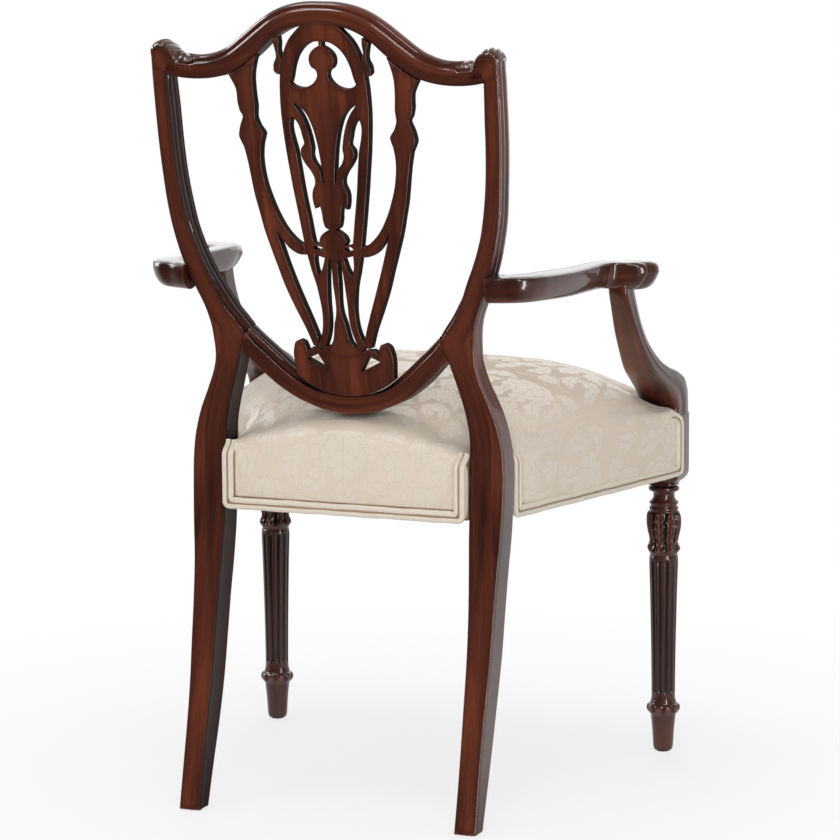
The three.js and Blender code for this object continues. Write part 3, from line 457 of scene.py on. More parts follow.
def bare_wood(name, dark, light, along="z", layers=0.0):
    """Unpolished timber, or plywood when layers is its sheet spacing per millimetre."""
    material, tree = start_material(name)
    spot = place_of(tree, False, along)
    band = noise_of(tree, spot, 0.22, 5, 0.6, 0.4, by=(1, 1, 0.04))
    fleck = noise_of(tree, spot, 1.9, 2, by=(1, 1, 0.08)).between(0.58, 0.7)
    share = band * 0.8 + fleck * 0.2
    if layers:
        height = parts_of(tree, node(tree, "TexCoord").outputs["Object"])[2]
        share = share * 0.6 + (height * (layers / MM)).sin().between(-0.3, 0.3) * 0.4
    colour = blend(tree, share, tint(dark), tint(light))
    # Painted shade in corners.
    corner = openness(tree, 0.02, samples=6).between(0.1, 0.9, 0.55, 1.0)
    colour = blend(tree, corner, tint(dark, 0.35), colour)
    return finish(material, colour, band * 0.2 + 0.55, fleck * -0.1 + band * 0.1)


def small_metal(name, colour, metallic, roughness):
    """Steel or moulded plastic with faint scratches."""
    material, tree = start_material(name)
    spot = place_of(tree, False)
    scratch = noise_of(tree, spot, 3.0, 3, by=(1, 0.1, 1))
    smudge = noise_of(tree, spot, 0.2, 3)
    smudged = blend(tree, smudge, tint(colour, 0.7), tint(colour))
    return finish(material, smudged, smudge * 0.25 + (roughness - 0.12), scratch * 0.05, 0.4, Metallic=metallic)


def plain_weave(name, colour):
    """Thin black bottoming cloth with dust on it."""
    material, tree = start_material(name)
    spot = place_of(tree, False)
    across, along, _ = parts_of(tree, spot)
    thread = (across * 6.0).sin() * 0.5 + (along * 6.0).sin() * 0.5
    dust = noise_of(tree, spot, 0.05, 4).between(0.3, 0.75)
    fuzz = noise_of(tree, spot, 1.6, 2)
    dusty = blend(tree, dust * 0.6 + thread * 0.15, tint(colour), tint(colour, 2.2))
    return finish(material, dusty, fuzz * 0.1 + 0.85, thread * 0.06 + fuzz * 0.06, 0.7)


# Damask: a mirrored repeat in millimetres, of plumed leaves, flowers and stems
REPEAT_X, REPEAT_Y = 190.0, 262.0
# middle x and y, direction in degrees, half length, half width, bend, lobes per millimetre
DAMASK_LEAVES = [
    (25, 40, 60, 35, 16, 0.008, 0.25), (60, 17, 14, 27, 11, 0.012, 0.3), (0, 62, 90, 38, 16, 0.0, 0.24),
    (33, 84, 52, 27, 12, -0.014, 0.3), (66, 62, 78, 29, 12, 0.012, 0.28),
    (86, 100, 97, 28, 12, -0.010, 0.28), (56, 112, 30, 24, 11, 0.016, 0.3),
    (25, 134, 112, 30, 13, 0.012, 0.27), (0, 178, 90, 32, 15, 0.0, 0.26),
    (37, 176, 48, 27, 12, -0.014, 0.3), (70, 152, 66, 27, 12, 0.014, 0.3),
    (84, 192, 108, 25, 11, -0.014, 0.3), (54, 208, 18, 26, 12, 0.012, 0.29),
    (22, 226, 74, 27, 11, -0.012, 0.3), (72, 238, 55, 22, 10, 0.012, 0.32),
    (92, 40, 92, 26, 9, 0.0, 0.32),
]
# middle x and y, radius, petals
DAMASK_FLOWERS = [(0, 118, 29, 4.0), (95, 142, 25, 4.0), (46, 150, 16, 3.0), (0, 248, 17, 3.0)]
# centre x and y, radius, line half width, side of the centre that is drawn
DAMASK_STEMS = [
    (64, 78, 38, 1.5, 1), (18, 150, 42, 1.4, -1), (74, 196, 34, 1.4, 1), (38, 232, 28, 1.3, -1),
]


def damask_fields(tree, spot):
    """(how far inside a figure, how far inside a vein or outline), in millimetres."""
    x, y, _ = parts_of(tree, spot)
    y = y + noise_of(tree, spot, 0.03, 2) * 6.0 + 30.0
    column = (x * (1 / REPEAT_X) + 0.5).do("FLOOR")
    p = abs(x - column * REPEAT_X)
    q = (y * (1 / REPEAT_Y)).do("FRACT") * REPEAT_Y
    figure, vein = None, None
    for cx, cy, degrees, length, width, bend, teeth in DAMASK_LEAVES:
        c, s = math.cos(math.radians(degrees)), math.sin(math.radians(degrees))
        u = p * c + q * s - (cx * c + cy * s)
        v = q * c - p * s - (cy * c - cx * s) - u * u * (bend * 1.4)
        t = u * (1 / length)
        side = abs(v)
        lobe = abs((u * (teeth * 0.66) - side * 0.1).sin())
        field = (1.0 - t * t) * (width * 1.2) * (lobe * 0.38 + 0.62) - side
        rib = (0.6 - side).top((0.1 - lobe) * 8.0).least(field - 1.1)
        figure = field if figure is None else figure.top(field)
        vein = rib if vein is None else vein.top(rib)
    for cx, cy, radius, petals in DAMASK_FLOWERS:
        dx, dy = p - cx, q - cy
        reach = (dx * dx + dy * dy).do("SQRT")
        angle = dy.do("ARCTAN2", dx)
        lobe = abs((angle * petals).sin())
        outer = (lobe * 0.2 + 0.8) * radius - reach
        inner = abs((angle * petals + 0.9).sin())
        ring = 0.5 - abs((inner * 0.16 + 0.5) * radius - reach)
        heart = 0.5 - abs(reach - radius * 0.22)
        ray = ((angle * petals * 4.0).sin() - 0.8) * 1.6
        ray = ray.least(outer - 0.6).least(reach - radius * 0.62)
        figure = figure.top(outer)
        vein = vein.top(ring).top(heart).top(ray)
    for cx, cy, radius, width, way in DAMASK_STEMS:
        dx, dy = p - cx, q - cy
        reach = (dx * dx + dy * dy).do("SQRT")
        line = (width - abs(reach - radius)).least(dx * float(way) + radius * 0.35)
        figure = figure.top(line)
    return figure, vein


def damask(name, base, shaded_top, figure_colour, shade_colour):
    """Silk damask: matt twill, darker and browner towards the seat's top as painted shade, and satin figures
    with veins.
    """
    material, tree = start_material(name)
    spot = attribute(tree, "weave")
    figure, vein = damask_fields(tree, spot)
    inside = figure.between(-0.2, 0.6)
    line = vein.between(-0.15, 0.3)
    satin = inside * (1.0 - line * 0.8)
    slub = noise_of(tree, spot, 0.8, 2, by=(1, 0.06, 1))
    cross = noise_of(tree, spot, 0.8, 2, by=(0.06, 1, 1))
    across, down, top_shade = parts_of(tree, spot)
    thread = (across * 9.0 + down * 4.5).sin() * (1.0 - satin) + (down * 11.0).sin() * satin
    # The twill ground turns to the shaded_top colour towards the seat's top: painted shade.
    colour = blend(tree, satin, blend(tree, top_shade, tint(base), tint(shaded_top)), tint(figure_colour))
    age = noise_of(tree, spot, 0.012, 3).between(0.35, 0.7)
    streaks = (slub * 0.5 + cross * 0.5).between(0.35, 0.75) * 0.16 + age * 0.08
    colour = blend(tree, streaks, colour, tint(shade_colour))
    edge_line = (1.0 - abs(figure - 0.2) * 1.5).top(0.0)
    colour = blend(tree, edge_line * 0.24 + line * inside * 0.18, colour, tint(shade_colour, 0.8))
    # Painted shade in corners and creases.
    corner = openness(tree, 0.012, samples=8).between(0.05, 0.75, 0.3, 1.0)
    colour = blend(tree, corner, tint(shade_colour, 0.5), colour)
    return finish(
        material, colour, satin * -0.5 + 0.88,
        inside * 0.14 - line * 0.07 + thread * 0.02 + slub * 0.06 + cross * 0.06, 0.7,
        Sheen_Weight=0.1, Sheen_Roughness=0.4, Specular_IOR_Level=0.8,
    )


def corded(name, base, shade_colour):
    """Piping cloth cut on the slant, with a brown line of painted shadow where the cords meet."""
    material, tree = start_material(name)
    spot = attribute(tree, "grain")
    around, _, along = parts_of(tree, spot)
    slant = ((along + around * 0.9) * 7.0).sin()
    slub = noise_of(tree, spot, 0.7, 3, by=(1, 1, 0.2))
    colour = blend(tree, slub.between(0.3, 0.75) * 0.35 + slant * 0.04, tint(base), tint(shade_colour))
    corner = openness(tree, 0.0038, samples=12).between(0.15, 0.66)
    # Painted shadow: brown where the cords meet each other and the cloth.
    colour = blend(tree, corner, (0.12, 0.066, 0.034, 1), colour)
    return finish(material, colour, slub * 0.2 + 0.55, slant * 0.03 + slub * 0.2, 0.6, Sheen_Weight=0.2)


DEEP, MIDDLE, LIGHT = (0.025, 0.0056, 0.0035), (0.080, 0.0168, 0.0078), (0.172, 0.0385, 0.015)
wood = polished("mahogany", DEEP, MIDDLE, LIGHT)
dark_wood = polished(
    "carved_mahogany", (0.020, 0.0065, 0.0045), (0.062, 0.0165, 0.0095), (0.125, 0.034, 0.0165),
    own=False, cavity=0.006,
)
# Darker, less glossy copies of the mahogany for the inner walls of openings and the crest's underside: painted
# shade.
shaded_wall_wood = polished(
    "painted_shade_wall", (0.010, 0.0040, 0.003), (0.025, 0.0075, 0.005), (0.048, 0.014, 0.0085),
    rough=0.4, coat=0.0, gloss=0.3, ior=1.3,
)
shaded_pierced_wood = polished(
    "painted_shade_pierced_wall", (0.008, 0.0033, 0.0026), (0.018, 0.0058, 0.004), (0.034, 0.0105, 0.007),
    rough=0.45, coat=0.0, gloss=0.2, ior=1.12,
)
# The arms get the mahogany darkened to 72%: painted shade.
shaded_arm_wood = polished("shaded_arm_mahogany", *[[c * 0.72 for c in tone] for tone in (DEEP, MIDDLE, LIGHT)])
# The damask's second colour is the painted shade on the seat's top.
fabric = damask("damask", (0.70, 0.60, 0.49), (0.57, 0.465, 0.37), (0.745, 0.66, 0.56), (0.52, 0.405, 0.3))
cord_cloth = corded("welt", (0.72, 0.64, 0.535), (0.60, 0.49, 0.38))
# Brown cloth for the lines between and beside the cords: painted shadow, with thread.
thread_and_shadow_cloth = corded("seam", (0.36, 0.24, 0.15), (0.24, 0.15, 0.09))
rail_wood = {
    way: bare_wood("rail_timber_" + way, (0.25, 0.13, 0.065), (0.42, 0.26, 0.145), along=way) for way in "xyz"
}
ply = bare_wood("birch_plywood", (0.36, 0.24, 0.13), (0.6, 0.46, 0.3), along="x", layers=4.2)
steel = small_metal("screw_steel", (0.55, 0.53, 0.5), 1.0, 0.35)
nylon = small_metal("glide_nylon", (0.045, 0.04, 0.036), 0.0, 0.45)
bottoming = plain_weave("bottoming", (0.012, 0.012, 0.013))


# Rear posts: where the reeds on the outer side begin and are full, and the top
REED_BOTTOM, REED_TOP, STILE_TOP = 520, 690, 908


def post_levels():
    """Height, inner side, outer side, rear face and front face of the left post."""
    return np.array([
        (g[:, 2].mean(), g[:, 0].min(), g[:, 0].max(), g[:, 1].max(), g[:, 1].min())
        for g in levels("left_rear_post", 2)
    ])


def post_at(z):
    """The post's four sides at each height, with the fork under the shield kept sharp."""
    rows = post_levels()
    z = np.asarray(z, float)
    out = smooth(rows[:, 0], rows[:, 1:], z)
    fork = [i for i in range(len(rows)) if 545 < rows[i, 0] < 582]
    below, above, between = rows[: fork[0] + 1], rows[fork[-1]:], rows[fork[0] : fork[-1] + 1]
    out[:, 0] = np.where(
        z <= below[-1, 0], smooth(below[:, 0], below[:, 1], z),
        np.where(
            z >= above[0, 0], smooth(above[:, 0], above[:, 1], z), np.interp(z, between[:, 0], between[:, 1]),
        ),
    )
    return out


def reed_wave(share):
    """Two reeds side by side, 0 in the quirks and 1 on the crowns."""
    return np.abs(np.sin(share * 2 * math.pi)) ** 0.6


def inner_wall(d, depth, shift, moulded):
    """How far the wall of the opening lies back from its line, at depth d from the rear face."""
    reed = reed_wave(np.clip((d - 8) / (depth - 11), 0, 1))
    ledge = np.clip((8.3 - d) / 1.7, 0, 1)
    return shift * ledge + moulded * ((1 - ledge) * 1.5 * (1 - reed) + 1.5 * bump(d, 7.6, 0.8))


def post_section(a, b, rear, front, reeds, moulded=0.0, shift=0.0, r_in=2.4):
    """Closed outline of the post at one height.

    reeds and moulded are 0 on the leg and 1 on the upper stile; shift moves the rear arris outward.
    """
    depth = rear - front
    r_out, r_front = 2.4, 3.2
    t = np.linspace(0, 1, 41)[1:-1]
    d = r_out + t * (depth - r_out - r_front)
    reed = reed_wave(np.clip((d - 5.4) / (depth - 9.4), 0, 1))
    inside = (d > 5.4) & (d < depth - 4)
    out = np.where(inside, -1.6 + 2.7 * reed, np.where(d >= depth - 4, -1.2, 0.0))
    outer = b + reeds * out - bump(d, 4.6, 0.9) * 1.5 * (0.3 + 0.7 * reeds)
    y = front + r_front + t * (depth - r_front - r_in)
    inner = a + inner_wall(rear - y, depth, shift, moulded) + (1 - moulded) * 0.8 * np.sin(t * math.pi)
    return np.vstack([
        arc(a + shift + r_in, rear - r_in, r_in, 180, 90, 7),
        np.stack([np.linspace(a + shift + r_in, b - r_out, 8)[1:-1], np.full(6, rear)], 1),
        arc(b - r_out, rear - r_out, r_out, 90, 0, 6),
        np.stack([outer, rear - d], 1),
        arc(b - r_front - 0.4 * reeds, front + r_front, r_front, 0, -90, 6),
        np.stack([np.linspace(b - r_front, a + r_front, 8)[1:-1], np.full(6, front)], 1),
        arc(a + r_front, front + r_front, r_front, 270, 180, 6),
        np.stack([inner, y], 1),
    ])


def rear_post():
    low = post_levels()[0, 0]
    z = np.concatenate([np.arange(low, 545, 7.0), np.arange(545, 584, 2.5), np.arange(584, STILE_TOP + 4, 5.0)])
    rows = []
    for height, (a, b, rear, front) in zip(z, post_at(np.minimum(z, STILE_TOP))):
        lift = back_y(height)[0] - back_y(STILE_TOP)[0] if height > STILE_TOP else 0.0
        shift = 6.0 * np.clip((height - 571.5) / 6.5, 0, 1) * (1 - ease(height, 600, 655))
        r_in = 2.4 - 2.15 * ease(height, 546, 550) * (1 - ease(height, 574, 579))
        reeds, moulded = ease(height, REED_BOTTOM, REED_TOP), ease(height, 571, 578)
        section = post_section(a, b, rear + lift, front + lift, reeds, moulded, shift, r_in)
        rows.append(at_height(section, height))
    return sweep("left_stile", rows, start=low)


# Lower half of the shield: inner edge then outer edge, from the fork to the middle
RIM_ROWS = [
    (120.8, 577.8, 131, 548.9), (110, 567, 120, 539.5), (98, 556, 108, 527), (85, 543.5, 94, 514),
    (72, 531.5, 79, 502.5), (60, 521.5, 64, 493.5), (48, 512.5, 49, 487), (36, 506, 35, 482),
    (24, 502, 22, 479), (12, 499.8, 11, 477.5), (0, 499, 0, 477),
]
RIM_STEP = 5


def rim_rows():
    half = trace(RIM_ROWS, RIM_STEP)
    return np.vstack([half, half[::-1][1:] * np.array([-1, 1, -1, 1])])


def rim_section(width, shift):
    """Distance from the opening's line and depth, round the rim's section."""
    turn = [(1 - math.cos(a), 1 - math.sin(a)) for a in np.radians([0, 18, 36, 54, 72, 90])]
    points = [(shift + 3.2 * u, 3.2 * v) for u, v in turn]
    fifths = (0.2, 0.4, 0.6, 0.8, 1)
    points += [(shift + 3.2 + (width - shift - 5.6) * t, 0.25 * math.sin(math.pi * t)) for t in fifths[:4]]
    points += [(width - 2.4 * u, 2.4 * v) for u, v in turn[::-1]]
    points += [(width - 0.8 * math.sin(math.pi * t), 2.4 + 28 * t) for t in fifths]
    points += [(width - 1.2, 33), (width - 3.4, 34), (width * 0.7, 34), (width * 0.45, 34)]
    points += [(3.4, 34), (1.2, 33)]
    points += [(inner_wall(d, 34.0, shift, 1.0), d) for d in np.linspace(30.4, 3.8, 30)]
    return np.array(points)


def shield_rim():
    rows = []
    for xi, zi, xo, zo in rim_rows():
        width = math.hypot(xo - xi, zo - zi)
        section = rim_section(width, 8 * ease(abs(xi), 14, 80) - 2 * ease(abs(xi), 110, 120.8))
        across = section[:, 0] / width
        x, z = xi + across * (xo - xi), zi + across * (zo - zi)
        rows.append(np.column_stack([x, back_y(z) - section[:, 1], z]))
    return sweep("shield_band", rows)


# Crest rail: depth in mm from the rear face, and share of the height
CREST_SECTION = [
    (0.9, 0.02), (0.3, 0.06), (0, 0.13), (0, 0.26), (0, 0.38), (0.0, 0.48), (0.25, 0.55),
    (0.9, 0.61), (2.0, 0.655), (3.2, 0.685), (4.0, 0.705), (4.3, 0.735), (4.2, 0.775), (4.5, 0.82),
    (5.4, 0.87), (7.0, 0.92), (9.4, 0.96), (12.4, 0.985), (15.5, 0.997), (18.8, 0.985),
    (22, 0.945), (25, 0.88), (27.6, 0.79), (29.6, 0.68), (30.8, 0.56), (31, 0.44), (31, 0.3),
    (31, 0.18), (30.6, 0.09), (29.4, 0.03), (27, 0.0), (21, 0.0), (15, 0.0), (9, 0.0), (3.8, 0.0),
    (2.0, 0.004),
]
# The rows of the section that make its roll
CREST_ROLL = slice(6, 19)


def crest_rail():
    half = np.array([
        (abs(g[:, 0].mean()), g[:, 2].min(), g[:, 2].max())
        for g in levels("crest_rail", 0) if g[:, 0].mean() > -1
    ])
    whole = np.vstack([half[::-1] * np.array([-1, 1, 1]), half[1:]])
    x = np.linspace(whole[0, 0], whole[-1, 0], 121)
    low, high = smooth(whole[:, 0], whole[:, 1:], x).T
    rolled, share = np.array(CREST_SECTION).T
    sloped = rolled.copy()
    sloped[CREST_ROLL] = 0.25 + 15.25 * np.clip((share[CREST_ROLL] - 0.55) / 0.447, 0, 1) ** 0.8
    rows = []
    for at, bottom, top in zip(x, low, high):
        plain = ease(abs(at), 154, 174)
        z = bottom + share * (top - bottom)
        y = back_y(z) - rolled * (1 - plain) - sloped * plain
        rows.append(np.column_stack([np.full(len(z), at), y, z]))
    return sweep("crest_moulding", rows, sharp=40)


# Ear block over each post: height, inner side, outer side
EAR_ROWS = [
    (884, 178, 214.3), (890, 180, 214.5), (894, 183, 214.7), (897, 185.6, 214.8), (900, 187.4, 214.9),
    (904, 189.2, 215.1), (908, 190.6, 215.2), (910.2, 191.2, 215.2),
]


def ear_block():
    heights, *sides = np.array(EAR_ROWS).T
    z = np.linspace(heights[0], heights[-1], 13)
    rows = []
    for height, (a, b) in zip(z, smooth(heights, np.transpose(sides), z)):
        rear = back_y(height)[0]
        rows.append(at_height(post_section(a, b, rear, rear - 34, 0.0), height))
    return sweep("left_ear_block", rows)


# Carved dome over the ear and its sweep down to the crest: place across, lower edge, top
EAR_SWEEP = [
    (216.6, 907.8, 908.4), (216.3, 907.9, 911), (215.2, 908.1, 914.2), (212.8, 908.7, 917.2),
    (208.5, 909.4, 919.4), (203.5, 909.9, 920.2), (198.5, 909.9, 918.8), (194, 909.3, 915.4),
    (191, 907.5, 912.4), (188.7, 903.4, 910.4), (186, 897.6, 908.4), (183, 893.4, 906.8),
    (178, 891.4, 905), (173, 892.4, 903.3), (168, 894.8, 901.5), (164, 897.4, 899.6),
]


def ear_carving():
    """Dome with gouged leaves over the ear, running out along the crest's top."""
    lines = trace(EAR_SWEEP, 0.8)
    along = run_of(lines[:, [0, 2]])
    phi = np.linspace(0, math.pi, 49)
    rows, carved = [], []
    for (x, low, high), s in zip(lines, along):
        dome = ease(x, 180, 191)
        narrow = 1 - 0.3 * ease(x, 207, 217.5) ** 2
        rear, front = 2.2 - 3.1 * dome, 30.2 + 5.6 * dome
        middle, half = (rear + front) / 2, (front - rear) / 2 * narrow
        depth = middle - half * np.cos(phi)
        rise = np.sin(phi) ** (1.25 - 0.5 * dome)
        # curled leaves: broad lobes that lean over the dome, each with a gouged vein
        lean = s * 0.38 + 1.5 * np.sin(phi * 1.4 + 0.5)
        lobe = np.sqrt(np.sin(lean) ** 2 + 0.02)
        vein = 0.5 + 0.5 * np.cos(lean * 4 + phi * 2)
        hold = np.sin(phi) ** 0.6 * ease(x, 168, 186) * ease(high - low, 3, 9)
        relief = hold * (2.2 * lobe - 1.7 + 0.4 * vein * lobe)
        z = low + (high - low) * rise + relief * np.sin(phi) * 0.9
        y = back_y(np.full(len(phi), low + 2.0)) - depth + relief * np.cos(phi) * 0.8
        under_d = np.linspace(front - 2.5, rear + 2.5, 7)
        under = np.column_stack([np.full(7, x), back_y(np.full(7, low)) - under_d, np.full(7, low - 2.5)])
        rows.append(np.vstack([np.column_stack([np.full(len(phi), x), y, z]), under]))
        carved.append(np.concatenate([relief, np.zeros(7)]))
    return sweep("left_ear_carving", rows, sharp=60, carved=carved)


# Pierced back: the board's thickness, its rounding, and the step of its outline
BOARD, BOARD_ROUNDING, BOARD_STEP = 14, 1.3, 2.2
GRAIN_STEP = 12


def border_loops(mesh, keys, chosen):
    """Closed outlines of the chosen points' faces; keys are the points' places in the outline's plane."""
    edges = {}
    for face in mesh.polygons:
        ids = list(face.vertices)
        if all(chosen[i] for i in ids):
            for p, q in zip(ids, ids[1:] + ids[:1]):
                p, q = keys[p], keys[q]
                if (q, p) in edges:
                    del edges[(q, p)]
                else:
                    edges[(p, q)] = True
    follow = {}
    for p, q in edges:
        follow.setdefault(p, []).append(q)
    loops = []
    while follow:
        loop = [next(iter(follow))]
        while loop[0] != loop[-1] or len(loop) == 1:
            at = loop[-1]
            loop.append(follow[at].pop())
            if not follow[at]:
                del follow[at]
        loops.append(drop_straight(np.array(loop[:-1])))
    return loops


def board_loops(name):
    """Outlines of the rear face of a flat CAD piece, as x and z."""
    node_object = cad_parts[name]
    x, y, z = np.round(points_of(node_object), 2).T
    return border_loops(node_object.data, list(zip(x, z)), np.abs(y - straight_back_y(z)) < 0.15)


def drop_straight(loop):
    """Leaves out points that lie on the line between their neighbours."""
    behind, ahead = loop - np.roll(loop, 1, 0), np.roll(loop, -1, 0) - loop
    cross = np.abs(behind[:, 0] * ahead[:, 1] - behind[:, 1] * ahead[:, 0])
    size = np.linalg.norm(behind, axis=1) * np.linalg.norm(ahead, axis=1) + 1e-9
    return loop[cross / size > 0.004]


def area(loop):
    x, z = loop.T
    return 0.5 * float(np.sum(x * np.roll(z, -1) - np.roll(x, -1) * z))


def inset(loop, by):
    """Moves an outline into its own material; outlines run with the material on their left."""
    behind, ahead = loop - np.roll(loop, 1, 0), np.roll(loop, -1, 0) - loop
    behind /= np.linalg.norm(behind, axis=1)[:, None] + 1e-9
    ahead /= np.linalg.norm(ahead, axis=1)[:, None] + 1e-9
    one = np.column_stack([-behind[:, 1], behind[:, 0]])
    two = np.column_stack([-ahead[:, 1], ahead[:, 0]])
    both = one + two
    both /= np.linalg.norm(both, axis=1)[:, None] + 1e-9
    scale = 1 / np.maximum(0.6, (both * one).sum(1))
    return loop + both * (scale * by)[:, None]


def plate(name, loops):
    """Pierced board with softened edges, leaned to the line of the back."""
    outlines = []
    outer = max(range(len(loops)), key=lambda i: abs(area(loops[i])))
    for i, loop in enumerate(loops):
        line = rounded_trace(loop, BOARD_STEP)
        outlines.append(line[::-1] if (area(line) > 0) != (i == outer) else line)
    turn = np.radians([0, 30, 60, 90])
    edge = [((1 - math.sin(a)) * BOARD_ROUNDING, (1 - math.cos(a)) * BOARD_ROUNDING) for a in turn]
    profile = [*edge, (0, BOARD / 3), (0, BOARD * 2 / 3), *((r, BOARD - d) for r, d in edge[::-1])]
    verts, faces, starts = [], [], []
    for line in outlines:
        n, base = len(line), len(verts)
        starts.append((base, n))
        for by, depth in profile:
            verts += [(x, -depth, z) for x, z in inset(line, by)]
        faces += [
            (at + i, at + n + i, at + n + (i + 1) % n, at + (i + 1) % n)
            for at in range(base, base + (len(profile) - 1) * n, n) for i in range(n)
        ]
    for k in (0, len(profile) - 1):
        rings = [range(base + k * n, base + (k + 1) * n) for base, n in starts]
        ids = [v for ring in rings for v in ring]
        groups = [[Vector((verts[v][0], verts[v][2], 0)) for v in ring] for ring in rings]
        faces += [tuple(ids[i] for i in tri) for tri in tessellate_polygon(groups)]
    mesh = bpy.data.meshes.new(name)
    mesh.from_pydata(verts, [], faces)
    b = bmesh.new()
    b.from_mesh(mesh)
    zs = [v.co.z for v in b.verts]
    for cut in np.arange(math.floor(min(zs) / GRAIN_STEP) * GRAIN_STEP + GRAIN_STEP, max(zs), GRAIN_STEP):
        slice_at(b, 2, cut)
    bmesh.ops.recalc_face_normals(b, faces=b.faces)
    for v in b.verts:
        v.co.y += float(back_y(v.co.z)[0])
    b.to_mesh(mesh)
    b.free()
    x, y, z = np.array([v.co for v in mesh.vertices], float).T
    note(mesh, "grain", np.column_stack([x, y - back_y(z), z]))
    mesh.transform(Matrix.Scale(MM, 4))
    obj = shade(put(name, mesh), 40)
    obj.modifiers.new("weighted", "WEIGHTED_NORMAL").keep_sharp = True
    return obj


def slice_at(b, axis, at):
    """Cuts all faces of a mesh being built with a plane across one axis."""
    place, way = [0, 0, 0], [0, 0, 0]
    place[axis], way[axis] = at, 1
    bmesh.ops.bisect_plane(b, geom=b.verts[:] + b.edges[:] + b.faces[:], plane_co=place, plane_no=way)


# Front legs: radius and height, foot to top
LEG_ROWS = [
    (11.0, 2), (11.6, 3.2), (12.2, 5), (12.8, 12), (13.7, 26), (15.2, 42), (15.8, 46.5), (16.4, 48.2),
    (17.6, 49.6), (19.2, 52.0), (19.9, 55), (20.0, 58), (19.0, 60.8), (17.0, 61.8), (16.3, 62.6),
    (15.9, 65), (15.2, 67), (14.9, 70), (14.7, 76), (15.0, 110), (15.9, 160), (17.0, 210), (18.0, 247),
    (17.7, 250), (16.9, 252.4), (17.6, 254), (18.6, 256), (19.9, 258.4), (20.2, 260), (19.2, 262.5),
    (17.6, 266.5), (17.2, 270), (18.0, 275), (19.6, 281.5), (20.9, 289), (21.2, 295), (20.7, 301),
    (19.2, 305.5), (17.4, 307.6), (17.0, 308.6), (17.9, 309.4), (18.3, 311), (17.9, 312.6),
    (16.9, 313.6), (16.4, 315), (16.7, 316.4), (17.6, 317.4), (17.7, 319.2), (16.6, 320.6),
    (14.4, 323), (13.3, 327.5), (13.5, 330.5), (14.8, 332.2), (17.2, 333.2), (18.8, 334.4),
    (19.3, 336.2), (18.9, 338.2), (17.4, 339.4),
]
FLUTES, FLUTE_LOW, FLUTE_HIGH = 12, 75, 248
LEAVES, LEAF_LOW, LEAF_HIGH = 8, 257, 308


def front_leg():
    low, high = cad_box("left_front_leg")
    cx, cy = (low[:2] + high[:2]) / 2
    radii, heights = np.array(LEG_ROWS).T
    fine = [np.arange(72, 82, 1.0), np.arange(241, 250, 1.0)]
    for low, high in zip(heights[:-1], heights[1:]):
        count = max(2, int(math.ceil((high - low) / (1.3 if low > 245 or low < 75 else 6.5))))
        fine.append(np.linspace(low, high, count + 1))
    z = np.unique(np.round(np.concatenate(fine), 3))
    theta = np.linspace(0, 2 * math.pi, FLUTES * 12, endpoint=False)
    cell = np.abs((theta * FLUTES / (2 * math.pi) + 0.5) % 1 - 0.5) * 2
    rows, carved = [], []
    for height, radius in zip(z, smooth(heights, radii, z, level=True)):
        out = np.full(len(theta), radius)
        end = min(height - FLUTE_LOW, FLUTE_HIGH - height)
        if end > 0:
            share = math.sqrt(1 - max(0.0, 1 - end / 4.2) ** 2)
            out = out - 1.75 * share * np.sqrt(np.clip(1 - (cell / (0.52 * share)) ** 2, 0, 1))
        if LEAF_LOW < height < LEAF_HIGH:
            out = out + leaf_relief(theta, height)
        if 312.9 < height < 320.7:
            out = out + 0.5 * np.abs(np.sin(theta * 12)) * bump(height, 318, 2)
        if 49 < height < 61.5:
            lobe = np.abs(np.sin(theta * 5)) ** 0.7
            out = out + bump(height, 55.6, 4.4) * (1.1 * lobe - 2.1 * (1 - lobe))
            out = out - 0.35 * np.abs(np.cos(theta * 20)) * bump(height, 50.6, 1.6)
        rows.append(at_height(np.column_stack([cx + out * np.cos(theta), cy + out * np.sin(theta)]), height))
        carved.append(out - radius)
    return sweep("left_turned_leg", rows, sharp=50, carved=carved)


def leaf_relief(theta, height):
    """Upright acanthus leaves with a rib, side veins and frilled edges."""
    rise = (height - LEAF_LOW) / (LEAF_HIGH - LEAF_LOW)
    side = np.abs((theta * LEAVES / (2 * math.pi) + 0.5) % 1 - 0.5) * 2
    frill = 0.10 * np.sin(rise * 34 + 0.6)
    half = 0.86 - 0.55 * ease(rise, 0.86, 1.0) - 0.32 * ease(1 - rise, 0.9, 1.0) + frill * ease(rise, 0.0, 0.3)
    gap = ease(side, half - 0.16, half + 0.02)
    rib = np.exp(-((side / 0.09) ** 2))
    vein = 0.5 + 0.5 * np.cos(2 * math.pi * (rise * 5.2 - side * 1.5))
    body = 0.95 * (1 - side**2) - 2.9 * gap + 0.7 * rib - 1.2 * np.exp(-(((side - 0.2) / 0.08) ** 2))
    return (body - 1.15 * vein * (1 - gap) * ease(side, 0.15, 0.4)) * min(1, 12 * min(rise, 1 - rise) + 0.15)


# Corner posts over the front legs: height and how far each side is drawn in
CORNER_ROWS = [
    (340.6, 9.2), (341.2, 8.2), (343.2, 7.9), (344.2, 8.1), (344.8, 7.2), (346.2, 4.9), (348.4, 2.9),
    (351, 1.4), (354, 0.45), (357.5, 0.05), (366, 0), (390, 0), (410, 0), (430.1, 0),
]


def square_loop(x0, x1, y0, y1, radius):
    radius = min(radius, (x1 - x0) / 2 - 0.1, (y1 - y0) / 2 - 0.1)
    left, right, low, high = x0 + radius, x1 - radius, y0 + radius, y1 - radius
    corners = ((right, high, 0), (left, high, 90), (left, low, 180), (right, low, 270))
    return np.vstack([arc(x, y, radius, start, start + 90, 6) for x, y, start in corners])


def corner_post():
    low, high = cad_box("left_corner_post")
    rows = []
    for z, draw in CORNER_ROWS:
        flat = square_loop(low[0] + draw, high[0] - draw, low[1] + draw, high[1] - draw, 3.2 + draw * 0.9)
        rows.append(at_height(flat, z))
    return sweep("left_corner_block", rows)


